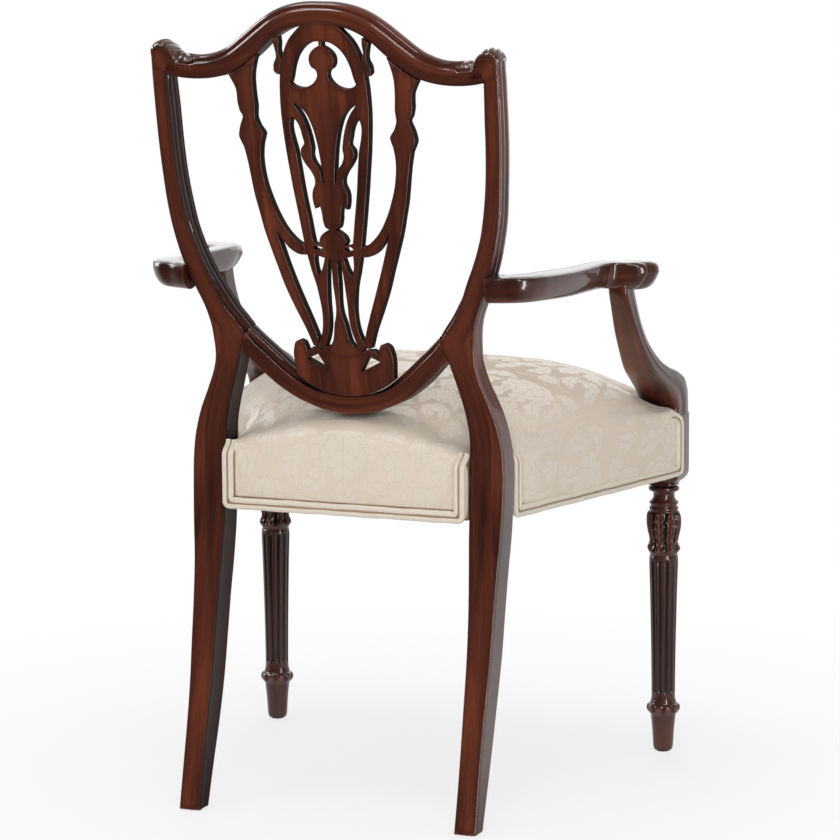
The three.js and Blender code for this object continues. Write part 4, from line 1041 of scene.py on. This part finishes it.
# Arm in plan: outer edge then inner edge, and the height of the top face
ARM_ROWS = [
    (189, 231, 186, 190, 653.6), (200, 227, 194, 187, 653.6), (212, 221, 204, 186, 653.6),
    (226, 217.5, 212, 176, 653.6), (238, 206, 218, 162, 653.2), (246, 188, 222, 143, 652.6),
    (251, 160, 225, 118, 651), (254, 128, 227, 92, 649.2), (256, 95, 228.5, 66, 647.4),
    (256.5, 60, 229.5, 40, 646.2), (256, 25, 230.5, 10, 644.8), (257, -6, 231.5, -12, 643.8),
    (262, -21, 232.5, -25, 643.3), (279, -28, 234, -38, 643), (292, -33.5, 235.5, -47, 643),
    (297.5, -38.5, 236, -52, 642.7), (298, -42.5, 236.4, -55, 642.5), (295.6, -46, 237, -57.5, 642.4),
    (299, -50, 238, -61, 642.2), (304, -57, 241, -67, 642), (304.4, -66, 246, -74, 641.8),
    (301, -75, 253, -80, 641.4), (292, -81.5, 262, -85, 641), (280, -85, 270, -87, 640.6),
]
# Share of the way across, and height from the top face
ARM_SECTION = [
    (0.0, -2.4), (0.015, -1.1), (0.045, -0.3), (0.08, -0.02), (0.115, -0.05), (0.135, -0.85),
    (0.155, -0.05), (0.3, 0.15), (0.5, 0.2), (0.7, 0.15), (0.845, -0.05), (0.865, -0.85), (0.885, -0.05),
    (0.92, -0.02), (0.955, -0.3), (0.985, -1.1), (1.0, -2.4), (1.0, -6.0), (0.99, -10), (0.965, -14),
    (0.92, -19), (0.86, -23.5), (0.78, -27.5), (0.68, -30), (0.56, -31), (0.44, -31), (0.32, -30),
    (0.22, -27.5), (0.14, -23.5), (0.08, -19), (0.035, -14), (0.01, -10), (0.0, -6.5),
]


def arm():
    lines = trace(ARM_ROWS, 2.6)
    u, level = np.array(ARM_SECTION).T
    outline = np.vstack([lines[:, 0:2], lines[::-1, 2:4]])
    rows = []
    for ox, oy, ix, iy, top in lines:
        x, y = ox + u * (ix - ox), oy + u * (iy - oy)
        depth = -level * (1 + 0.11 * ease(-oy, 10, 50))
        # the scroll end rolls over, also at its top edge
        gap = np.array([outline_gap(outline, px, py) for px, py in zip(x, y)])
        roll = (1 - np.sqrt(1 - (1 - np.clip(gap / 9, 0, 1)) ** 2)) * np.clip(1 - depth / 20, 0, 1)
        z = top - depth - 7 * roll * ease(-oy, 22, 44) - 1.3 * ease(-oy, 20, 60)
        rows.append(np.column_stack([x, y, z]))
    return sweep("left_arm_shaped", rows, sharp=45)


def outline_gap(outline, x, y):
    """Distance from a point to an open outline."""
    a, b = outline[:-1], outline[1:]
    way = b - a
    t = np.clip(((np.array([x, y]) - a) * way).sum(1) / ((way**2).sum(1) + 1e-9), 0, 1)
    return float(np.min(np.linalg.norm(a + way * t[:, None] - (x, y), axis=1)))


# Arm support in side view: front edge, rear edge, inner and outer side
SUPPORT_ROWS = [
    (-62, 620, -30, 620, 251, 274.5), (-64, 608, -32, 607, 251, 275),
    (-69.5, 588, -43, 584, 250.5, 276.8), (-80.5, 563, -60, 556, 249, 279),
    (-102, 536.5, -84, 526, 247, 281.5), (-133, 513.5, -112, 499, 244, 284.4),
    (-166, 498.5, -146, 479, 241, 286.6), (-203, 487, -173, 462, 238.5, 288.5),
    (-225, 476, -185.5, 450, 238, 289), (-236, 461, -189.5, 440, 238, 289),
    (-239.5, 430.4, -189.5, 430.4, 238, 289),
]


def support_section():
    """Across (0 inner, 1 outer) and along (0 front, 1 rear), with rounded edges and a soft ridge outside."""
    e, c = 0.16, 0.14
    points = []
    for cx, cy, start, side in (
        (e, c, 180, [(0.4, -0.012), (0.6, -0.012)]),
        (1 - e, c, 270, [(1.012, 0.3), (1.03, 0.48), (1.0, 0.56), (1.0, 0.7)]),
        (1 - e, 1 - c, 0, [(0.6, 1.02), (0.4, 1.02)]),
        (e, 1 - c, 90, [(0, 0.7), (0, 0.5), (0, 0.3)]),
    ):
        turn = np.radians(np.linspace(start, start + 90, 7))
        points += [(cx + e * math.cos(a), cy + c * math.sin(a)) for a in turn] + side
    return np.array(points)


def arm_support():
    """The foot's last rows meet the post's top at a corner, so they are traced on their own."""
    lines = np.vstack([trace(SUPPORT_ROWS[:10], 5), trace(SUPPORT_ROWS[9:], 5)[1:]])
    u, v = support_section().T
    rows = [
        np.column_stack([inner + u * (outer - inner), fy + v * (ry - fy), fz + v * (rz - fz)])
        for fy, fz, ry, rz, inner, outer in lines
    ]
    return sweep("left_support_shaped", rows, sharp=40)


# Seat cover: half plan of the upholstered faces, from the middle of the rear round to the front
SEAT_PLAN = [
    (0, 198.6), (60, 198.4), (120, 197.8), (147, 197.2), (153.2, 195.4), (154.2, 190), (154.2, 170),
    (154.6, 156), (157, 149.6), (170, 148.9), (188, 148.9), (192.4, 146.8), (195, 140), (208, 106),
    (232, 30), (256, -50), (277, -118), (290.5, -164), (293.4, -176), (292.4, -184.6), (286, -188.2),
    (262, -188.6), (243, -189), (238.2, -192), (236.8, -200), (236.6, -225), (236.2, -236.4),
    (230, -240.2), (200, -245.6), (150, -251.4), (100, -256.4), (50, -259.6), (0, -260.8),
]
SEAT_MIDDLE = np.array([0, -20])
CROWN = 513
# Height, and how far the cloth bellies out of the plan, up the faces
FACE_ROWS = ((362.6, 0.0), (366, 0.0), (378, 0.5), (392, 1.3), (406, 1.6), (420, 1.0))
# Share of the way out from the middle, and height, for each side of the cover
SIDE_PROFILE = [
    (1, 428), (0.999, 433), (0.993, 438.5), (0.975, 444.5), (0.945, 451), (0.9, 460), (0.83, 472.5),
    (0.72, 488), (0.58, 499.5), (0.4, 506.5), (0.2, 509.6), (0.04, 510),
]
REAR_PROFILE = [
    (1.0, 434), (0.999, 441), (0.99, 448.5), (0.968, 455.5), (0.935, 460.5), (0.9, 463.5), (0.86, 467),
    (0.8, 473), (0.7, 485), (0.52, 498), (0.3, 507), (0.04, 510),
]
FRONT_PROFILE = [
    (1.0, 432), (1.003, 440), (1.002, 447), (0.993, 454.5), (0.968, 462), (0.925, 471), (0.86, 481.5),
    (0.76, 492), (0.61, 501), (0.43, 507), (0.22, 509.6), (0.04, 510),
]
# Height of the rolled rear edge above its mean, by the distance from the middle
ROLLED_EDGE = ((0, 57, 112, 132, 150, 160), (7.5, 2.5, -3.5, -11, -17, -19))
CLOTH_FRAMES = 20


def seat_loop():
    half = trace(SEAT_PLAN, 6.0)
    return np.vstack([half, half[::-1][1:-1] * np.array([-1, 1])])


def even_loop(loop, passes):
    for _ in range(passes):
        loop = (np.roll(loop, 1, 0) + loop * 2 + np.roll(loop, -1, 0)) / 4
    return loop


def seat_shell():
    """Closed crowned form of the whole upholstered seat."""
    plan = seat_loop()
    soft = even_loop(plan, 260) * np.array([1.02, 1.0])
    across, down = np.abs(plan[:, 0]), plan[:, 1]
    angle = np.arctan2((down - SEAT_MIDDLE[1]) / 230.0, across / 262.0)
    rear = ease(angle, 0.62, 0.92)
    front = ease(-angle, 0.62, 0.95)
    side = 1 - rear - front
    away = np.gradient(plan, axis=0)
    away = np.column_stack([-away[:, 1], away[:, 0]])
    away /= np.linalg.norm(away, axis=1)[:, None]
    third = len(plan) // 3
    if float((away[third] * (plan - SEAT_MIDDLE)[third]).sum()) < 0:
        away = -away
    near_post = (across < 196) & (across > 150) & (down > 140)
    near_corner = (across > 232) & (down < -184)
    free = even_loop(np.where(near_post | near_corner, 0.0, 1.0), 12)
    rows = [at_height(plan + away * (out * free)[:, None], z) for z, out in FACE_ROWS]
    profiles = zip(SIDE_PROFILE, REAR_PROFILE, FRONT_PROFILE)
    for (side_out, side_z), (rear_out, rear_z), (front_out, front_z) in profiles:
        share = side * side_out + rear * rear_out + front * front_out
        roll = np.interp(across, *ROLLED_EDGE) * ease(rear_out, 0.78, 0.93)
        z = side * side_z + rear * (rear_z + roll) + front * front_z
        keep = ease(np.mean(share), 0.82, 0.995)
        shape = plan * keep + soft * (1 - keep)
        rows.append(np.column_stack([SEAT_MIDDLE + (shape - SEAT_MIDDLE) * share[:, None], z]))
    return make("seat_cover", np.vstack(rows), ring_faces(len(rows), len(plan)), sharp=60)


def apply_all(obj):
    """Turns a piece's modifiers into its mesh."""
    graph = bpy.context.evaluated_depsgraph_get()
    mesh = bpy.data.meshes.new_from_object(obj.evaluated_get(graph))
    obj.modifiers.clear()
    obj.data = mesh


def remesh(obj, size):
    step = obj.modifiers.new("voxels", "REMESH")
    step.mode = "VOXEL"
    step.voxel_size = size * MM
    apply_all(obj)


def stuffed(obj, cap):
    """Blows the top of the cover up as cloth over its stuffing, with the nailed faces held.

    cap is the most that it moves, in millimetres.
    """
    before = points_of(obj)
    x, y, z = before.T
    held = 1 - ease(z, 428, 452)
    for px, py in ((172, 168), (265, -214)):
        held = np.maximum(held, 1 - ease(np.hypot(np.abs(x) - px, y - py), 42, 74))
    group = obj.vertex_groups.new(name="held")
    for level in np.linspace(0.1, 1, 10):
        ids = np.nonzero((held > level - 0.1) & (held <= level + 1e-6))[0]
        group.add([int(i) for i in ids], float(level), "REPLACE")
    cloth = obj.modifiers.new("cloth", "CLOTH")
    for key, value in {
        "quality": 5, "mass": 0.4, "tension_stiffness": 22, "compression_stiffness": 22,
        "shear_stiffness": 8, "bending_stiffness": 1.2, "vertex_group_mass": "held", "pin_stiffness": 1,
        "use_pressure": True, "uniform_pressure_force": 4,
    }.items():
        setattr(cloth.settings, key, value)
    cloth.settings.effector_weights.gravity = 0
    cloth.collision_settings.use_collision = False
    cloth.point_cache.frame_start, cloth.point_cache.frame_end = 1, CLOTH_FRAMES
    for step in range(1, CLOTH_FRAMES + 1):
        bpy.context.scene.frame_set(step)
    apply_all(obj)
    bpy.context.scene.frame_set(1)
    move = points_of(obj) - before
    size = np.linalg.norm(move, axis=1)
    move *= (np.minimum(size, cap) / np.maximum(size, 1e-6))[:, None]
    set_points(obj, before + move)
    print("cover moved by at most", round(float(size.max()), 2), "mm, mean", round(float(size.mean()), 2))
    obj.vertex_groups.clear()


def pulled_folds(obj):
    """Shallow folds and hollows where the cloth is drawn down between the wood and the stuffing."""
    points = points_of(obj)
    x, y, z = points.T
    across = np.abs(x)
    move = np.zeros(len(points))
    for px, py, turns, deep, near, far in ((150, 150, 5.5, 1.5, 6, 62), (236, -188, 6.5, 1.3, 8, 58)):
        reach = np.hypot(across - px, y - py)
        angle = np.arctan2(y - py, across - px)
        fade = ease(reach, near, near + 12) * (1 - ease(reach, far * 0.45, far))
        sway = np.sin(angle * 2.3 + np.sign(x) * 1.7) * 0.8
        move += deep * fade * np.abs(np.sin(angle * turns + sway)) ** 1.5
    move += 5.5 * bump(across, 114, 24) * bump(y, 170, 15) * ease(z, 446, 456)
    move += 6.5 * bump(across, 274, 26) * bump(y, -160, 26) * ease(z, 440, 452)
    points[:, 2] -= move * ease(z, 426, 442)
    set_points(obj, points)


def clear_of(obj, others, gap):
    """Pushes the cover out of the wood beside it."""
    points = points_of(obj)
    for other in others:
        solid = points_of(other)
        tree = BVHTree.FromPolygons([Vector(p) for p in solid], [p.vertices[:] for p in other.data.polygons])
        low, high = solid.min(0) - gap, solid.max(0) + gap
        for i in np.nonzero(((points > low) & (points < high)).all(1))[0]:
            spot, normal, _, _ = tree.find_nearest(Vector(points[i]))
            if (Vector(points[i]) - spot).dot(normal) < gap:
                points[i] = np.array(spot + normal * gap)
    set_points(obj, points)


def smoothed(obj, rounds, keep):
    """Evens the cover's small waves; keep(points) is 1 where it may not move."""
    points = points_of(obj)
    still = keep(points)
    pairs = np.zeros(len(obj.data.edges) * 2, np.int64)
    obj.data.edges.foreach_get("vertices", pairs)
    a, b = pairs.reshape(-1, 2).T
    count = len(points)
    degree = np.bincount(a, minlength=count) + np.bincount(b, minlength=count)
    for _ in range(rounds):
        total = [np.bincount(a, points[b, k], count) + np.bincount(b, points[a, k], count) for k in range(3)]
        points += (np.stack(total, 1) / degree[:, None] - points) * 0.6 * (1 - still)[:, None]
    set_points(obj, points)


def lay_weave(obj):
    """Gives the cover its cloth coordinates: the plan on top, run on down the faces, and how high it lies, which
    sets the painted shade on the seat's top.
    """
    x, y, z = points_of(obj).T
    half = np.interp(y, [-190, 149], [293, 192])
    drop = np.clip(CROWN - z, 0, None)
    to_side, to_rear, to_front = np.abs(half - np.abs(x)), np.abs(198 - y), np.abs(y + 258)
    weights = np.exp(-np.stack([to_side, to_rear, to_front]) / 14)
    share = weights / (weights.sum(0) + 1e-9)
    u = x + np.sign(x) * drop * share[0]
    v = y + drop * share[1] - drop * share[2]
    note(obj.data, "weave", np.column_stack([u, v, ease(z, 458, 500)]))


# Welts: two cords round three sides of each upholstered face
CORD, CORD_GAP = 3.6, 7.3
WELT_BOTTOM, WELT_TURN, WELT_STEP = 358.8, 8, 3.0
# Each line of a welt: how far in it lies, how far it stands off the cloth, its radius and its sides
CORDS = ((CORD, 0.0, CORD, 10), (CORD + CORD_GAP, 0.0, CORD, 10))
# The brown lines between the cords and beside the welt: painted shadow, with thread.
THREAD_AND_SHADOW_LINES = ((CORD + CORD_GAP / 2, 1.75, 1.15, 6), (CORD * 2 + CORD_GAP + 0.4, -2.9, 0.95, 6))


def u_path(half, top, off, lean):
    """Down one side, along the bottom and up the other, drawn in by off, as (s, z).

    With lean, the top corner on the first side is rounded too, and the cord runs back along the top edge.
    """
    turn = max(1.6, WELT_TURN - off)
    low, side = WELT_BOTTOM + off, half - off
    inner = side - turn
    around = [
        arc(inner, low + turn, turn, 0, -90, 7),
        np.linspace((inner, low), (-inner, low), 30)[1:-1],
        arc(-inner, low + turn, turn, 270, 180, 7),
        np.linspace((-side, top), (-side, low + turn), 12)[:-1][::-1],
    ]
    if not lean:
        return trace(np.vstack([np.linspace((side, top), (side, low + turn), 12)[:-1], *around]), WELT_STEP)
    high, big = top - off, lean - off
    reach = 34 if off < 5 else 4
    first = [
        np.linspace((side - big - reach, high), (side - big, high), 8)[:-1],
        arc(side - big, high - big, big, 90, 0, 9)[:-1],
        np.linspace((side, high - big), (side, low + turn), 9)[:-1],
    ]
    return trace(np.vstack(first + around), WELT_STEP)


def tube(path, radius, sides):
    """Rings round a path; their first point looks the same way all along."""
    way = np.gradient(path, axis=0)
    way /= np.linalg.norm(way, axis=1)[:, None] + 1e-9
    side = np.cross(way[0], [0.3, 0.2, 0.93])
    cos, sin = (turn(np.linspace(0, 2 * math.pi, sides, endpoint=False))[:, None] for turn in (np.cos, np.sin))
    rows = []
    for p, forward in zip(path, way):
        side = side - forward * float((side * forward).sum())
        side /= np.linalg.norm(side)
        rows.append(p + radius * (cos * side + sin * np.cross(forward, side)))
    return np.array(rows)


def joined(name, parts):
    """Several loose pieces made into one object."""
    for obj in bpy.context.selected_objects:
        obj.select_set(False)
    for part in parts:
        part.select_set(True)
    whole = bpy.context.view_layer.objects.active = parts[0]
    bpy.ops.object.join()
    whole.name = whole.data.name = name
    return whole


def welt(name, lines, half, top, space, lean):
    """The two cords of a welt, or the brown lines of painted shadow, with thread, between and beside them."""
    parts = []
    for j, (off, lift, radius, sides) in enumerate(lines):
        path = np.array([space(s, z, lift) for s, z in u_path(half, top, off, lean)])
        if lines is CORDS:
            along = np.arange(len(path)) * 0.11 + j * 2
            path[:, 2] += 0.22 * np.sin(along * 1.9) + 0.16 * np.sin(along * 4.3 + 1)
        parts.append(sweep(f"{name}_{j}", tube(path, radius, sides), sharp=80))
    return joined(name, parts)


# Where a welt's (s, z) lies in space; near its top it is tucked in behind the cloth
def rear_space(s, z, lift):
    tuck = ease(z, 424, 441)
    return s + math.copysign(0.9 * tuck * tuck, s), 198.4 + 3.3 + lift - tuck * 15, z - tuck * 1.5


def side_space(s, z, lift):
    """s runs from the rear end (-) to the front end (+) of the left side."""
    rear, front = np.array([192.6, 148.6]), np.array([293.6, -188.4])
    length = np.linalg.norm(front - rear)
    along = (front - rear) / length
    tuck = 7 * ease(z, 430, 441) if s > 0 else 11 * 0.8 * ease(z, 426, 440)
    x, y = rear + (front - rear) * (0.5 + s / length) + np.array([-along[1], along[0]]) * (3.3 + lift - tuck)
    return x, y, z


def front_space(s, z, lift):
    bow = 22 * math.cos(max(-1, min(1, s / 238)) * math.pi / 2)
    tuck = ease(z, 420, 431)
    return s - math.copysign(2 * tuck, s), -238.4 - bow - 3.0 - lift + tuck * 7, z


# Dust cover: black cloth stretched and tacked under the rails
def dust_cloth():
    """Thin cloth in the outline of its CAD sheet, hanging a little between the tacks and in the middle."""
    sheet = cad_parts["dust_cover"]
    points = points_of(sheet)
    keys = [tuple(k) for k in np.round(points[:, :2], 1)]
    outline = border_loops(sheet.data, keys, points[:, 2] < points[:, 2].min() + 0.3)[0]
    if area(outline) < 0:
        outline = outline[::-1]
    line = []
    for p, q in zip(outline, np.roll(outline, -1, 0)):
        count = max(1, int(np.linalg.norm(q - p) / 6))
        line += [p + (q - p) * k / count for k in range(count)]
    line = np.array(line)
    b = bmesh.new()
    b.faces.new([b.verts.new((x, y, 0)) for x, y in line])
    for axis, reach in ((0, 290), (1, 240)):
        for at in np.arange(-reach, reach, 12.0):
            slice_at(b, axis, at)
    bmesh.ops.triangulate(b, faces=b.faces[:])
    for v in b.verts:
        gap = float(np.min(np.linalg.norm(line - v.co[:2], axis=1)))
        ripple = math.sin(v.co.x / 4.6) * math.sin(v.co.y / 5.3 + 0.7) * math.exp(-gap / 16)
        v.co.z = -2.6 * ease(gap, 20, 190) - 0.12 * ripple * ease(gap, 1, 8)
    mesh = bpy.data.meshes.new("dust_cloth")
    b.to_mesh(mesh)
    b.free()
    mesh.transform(Matrix.Scale(MM, 4) @ Matrix.Translation((0, 0, 361.6)))
    obj = put("dust_cloth", mesh)
    thick = obj.modifiers.new("thick", "SOLIDIFY")
    thick.thickness, thick.offset = 0.5 * MM, -1 if mesh.polygons[0].normal.z > 0 else 1
    apply_all(obj)
    return shade(obj, 60), line, area(outline)


# Tack head: radius and height of its rings
TACK_ROWS = ((2.9, 361.4), (3.0, 360.9), (2.6, 360.3), (1.5, 359.9))
TACK_SPACING, TACK_INSET, TACK_SIDES = 31, 7, 10


def tacks(line):
    """Small domed tack heads along the dust cover's edge."""
    verts, faces = [], []
    lengths = run_of(line)
    turn = np.linspace(0, 2 * math.pi, TACK_SIDES, endpoint=False)
    for along in np.arange(14, lengths[-1], TACK_SPACING):
        spot = np.array([np.interp(along, lengths, line[:, k]) for k in (0, 1)])
        inward = SEAT_MIDDLE - spot
        x, y = spot + inward / np.linalg.norm(inward) * TACK_INSET
        faces += ring_faces(len(TACK_ROWS), TACK_SIDES, len(verts))
        for radius, z in TACK_ROWS:
            verts += [(x + radius * math.cos(a), y + radius * math.sin(a), z) for a in turn]
    return make("dust_tacks", verts, faces)


# Assembly
# Face pickers for the walls and undersides that get the darker wall copies: painted shade.
def toward_middle(normal, centre):
    return normal.x * math.copysign(1, centre.x) < -0.6


def edgewise(normal, centre):
    return abs(normal.y) < 0.5


def downward(normal, centre):
    return normal.z < -0.7


make_camera()
# The posts' inner walls, the rim's walls and the crest's underside get the darker wall copy: painted shade.
posts = pair(rear_post(), wood, "mahogany", "left_rear_post", shaded=toward_middle)
skin(shield_rim(), wood, "mahogany", "left_shield_rim", "right_shield_rim", shaded=edgewise)
skin(crest_rail(), wood, "mahogany", "crest_rail", shaded=downward)
pair(ear_block(), wood, "mahogany")
pair(ear_carving(), dark_wood, "dark_mahogany", "left_ear_cap")
# The walls of the splat's openings get the darker pierced-wall copy: painted shade.
for piece, solid in (
    ("splat_lancet", "splat_center"), ("splat_foot", "splat_base"),
    ("left_splat_side", "left_splat_bar"), ("right_splat_side", "right_splat_bar"),
):
    skin(plate(piece, board_loops(solid)), wood, "mahogany", solid, shaded=edgewise, wall_shade=shaded_pierced_wood)
for side in ("left", "right"):
    solid = side + "_splat_leaf"
    skin(plate(side + "_splat_sprig", board_loops(solid)), dark_wood, "dark_mahogany", solid,
         shaded=edgewise, wall_shade=shaded_pierced_wood)
pair(front_leg(), dark_wood, "dark_mahogany", "left_front_leg")
corners = pair(corner_post(), wood, "mahogany", "left_corner_post")
pair(arm(), shaded_arm_wood, "mahogany", "left_arm")
supports = pair(arm_support(), wood, "mahogany", "left_arm_support")

cover = seat_shell()
remesh(cover, 5)
stuffed(cover, 7.0)
pulled_folds(cover)
smoothed(cover, 6, lambda points: 1 - ease(points[:, 2], 440, 456))
clear_of(cover, (*posts, *corners, *supports), 0.6)
finer = cover.modifiers.new("finer", "SUBSURF")
finer.levels = finer.render_levels = 1
apply_all(cover)
lay_weave(cover)
shade(cover, 60)
skin(cover, fabric, "damask",
     "seat_cushion", "rear_panel", "front_panel", "left_side_panel", "right_side_panel")

for face, half, top, space, lean in (
    ("rear", 154.4, 441, rear_space, 0), ("left_side", 175.6, 441, side_space, 19),
    ("front", 236.4, 430, front_space, 0),
):
    dress = pair if face == "left_side" else skin
    dress(welt(face + "_cords", CORDS, half, top, space, lean), cord_cloth, "welt_cord", face + "_welt")
    # The welt's brown lines: painted shadow, with thread.
    dress(welt(face + "_seams", THREAD_AND_SHADOW_LINES, half, top, space, lean), thread_and_shadow_cloth, "welt_cord")

cloth, tack_line, cloth_area = dust_cloth()
skin(cloth, bottoming, "dust_cloth", "dust_cover")
cloth_area * 1e-6
skin(tacks(tack_line), steel, "screw_steel")

# The CAD pieces that stay, by the end of their names
KEPT = {
    "side_rail": rail_wood["y"], "front_rail": rail_wood["x"], "rear_rail": rail_wood["x"],
    "_corner_block": rail_wood["z"], "_dowel": rail_wood["z"],
    "seat_board": ply, "_screw": steel, "_glide": nylon,
}
for name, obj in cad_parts.items():
    for ending, material in KEPT.items():
        if name.endswith(ending):
            for spot in obj.material_slots:
                spot.material = material


# Floor, world and lamps
FLOOR_REACH = 14
WHITE, FLOOR_GREY = (1, 1, 1, 1), (0.86, 0.86, 0.86, 1)


def rays(tree):
    """1 for what the camera sees, and 1 for what a glossy or clear surface sees."""
    path = node(tree, "LightPath").outputs
    mirrored = Sum(tree, path["Is Glossy Ray"]).top(Sum(tree, path["Is Transmission Ray"]))
    return Sum(tree, path["Is Camera Ray"]), mirrored


def make_stage():
    """Pale floor: white to the camera; glossy surfaces see it pale to the front and dark to the rear."""
    mesh = bpy.data.meshes.new("floor")
    square = [(x * FLOOR_REACH, y * FLOOR_REACH, 0) for x, y in ((-1, -1), (1, -1), (1, 1), (-1, 1))]
    mesh.from_pydata(square, [], [(0, 1, 2, 3)])
    floor = put("floor", mesh)
    material, tree = start_material("floor")
    tree.nodes.clear()
    camera, mirrored = rays(tree)
    spot = node(tree, "NewGeometry").outputs["Position"]
    far = node(tree, "VectorMath", {"operation": "LENGTH"})
    tree.links.new(spot, far.inputs[0])
    fade = Sum(tree, far.outputs["Value"]).between(0.35, 1.1, 0.72, 1.0)
    seen = parts_of(tree, spot)[1].between(-0.3, 0.7, 0.62, 0.03)
    grey = node(tree, "BsdfDiffuse", Color=FLOOR_GREY)
    white = node(tree, "Emission", Strength=camera + mirrored * seen)
    mix = node(tree, "MixShader", Fac=camera * fade + mirrored)
    out = node(tree, "OutputMaterial")
    feed(tree, mix.inputs[1:3], (grey.outputs[0], white.outputs[0]))
    tree.links.new(mix.outputs[0], out.inputs[0])
    mesh.materials.append(material)


def make_world():
    world = bpy.data.worlds.new("studio")
    bpy.context.scene.world = world
    world.use_nodes = True
    tree = world.node_tree
    tree.nodes.clear()
    camera, mirrored = rays(tree)
    y = parts_of(tree, node(tree, "TexCoord").outputs["Generated"])[1]
    level = (1.0 - mirrored) * 0.5 + y.between(-0.7, 0.3, 0.6, 0.04) * mirrored
    sky = node(tree, "Background", Color=WHITE, Strength=level * (1.0 - camera) + camera)
    out = node(tree, "OutputWorld")
    tree.links.new(sky.outputs[0], out.inputs[0])


def lamp(name, place, aim, size, power, lights=True, shines=True):
    """Soft lamp; lights is whether it lights matt surfaces, and shines whether glossy ones show it."""
    data = bpy.data.lights.new(name, "AREA")
    data.shape = "RECTANGLE"
    data.size, data.size_y = size
    data.energy = power
    obj = put(name, data)
    obj.location = place
    obj.rotation_euler = (Vector(aim) - Vector(place)).to_track_quat("-Z", "Y").to_euler()
    obj.visible_camera = False
    obj.visible_diffuse, obj.visible_glossy = lights, shines


make_stage()
make_world()
lamp("overhead", (0.1, 0.5, 3.0), (0, 0, 0.5), (1.8, 1.3), 23, shines=False)
lamp("rear_soft", (-1.2, 3.1, 1.5), (0, 0, 0.5), (2.0, 1.6), 50, shines=False)
lamp("front_soft", (0.8, -2.7, 1.7), (0, 0, 0.5), (1.8, 1.4), 26, shines=False)
lamp("front_gloss", (0.6, -3.2, 1.3), (0, 0, 0.6), (3.2, 2.2), 16, lights=False)
lamp("ridge_strip", (1.0, 0.6, 3.0), (0, 0, 0.8), (0.7, 1.3), 34, lights=False)
lamp("low_strip", (-1.05, 0.5, 0.4), (0, 0.1, 0.4), (0.14, 0.9), 7, lights=False)
lamp("high_strip", (-1.05, 0.9, 1.7), (0, 0.1, 0.8), (0.14, 1.5), 12, lights=False)
lamp("side_soft", (2.0, 0.0, 1.25), (0, 0.1, 0.6), (1.3, 1.5), 44, lights=False)

bpy.context.scene.view_settings.view_transform = "Standard"
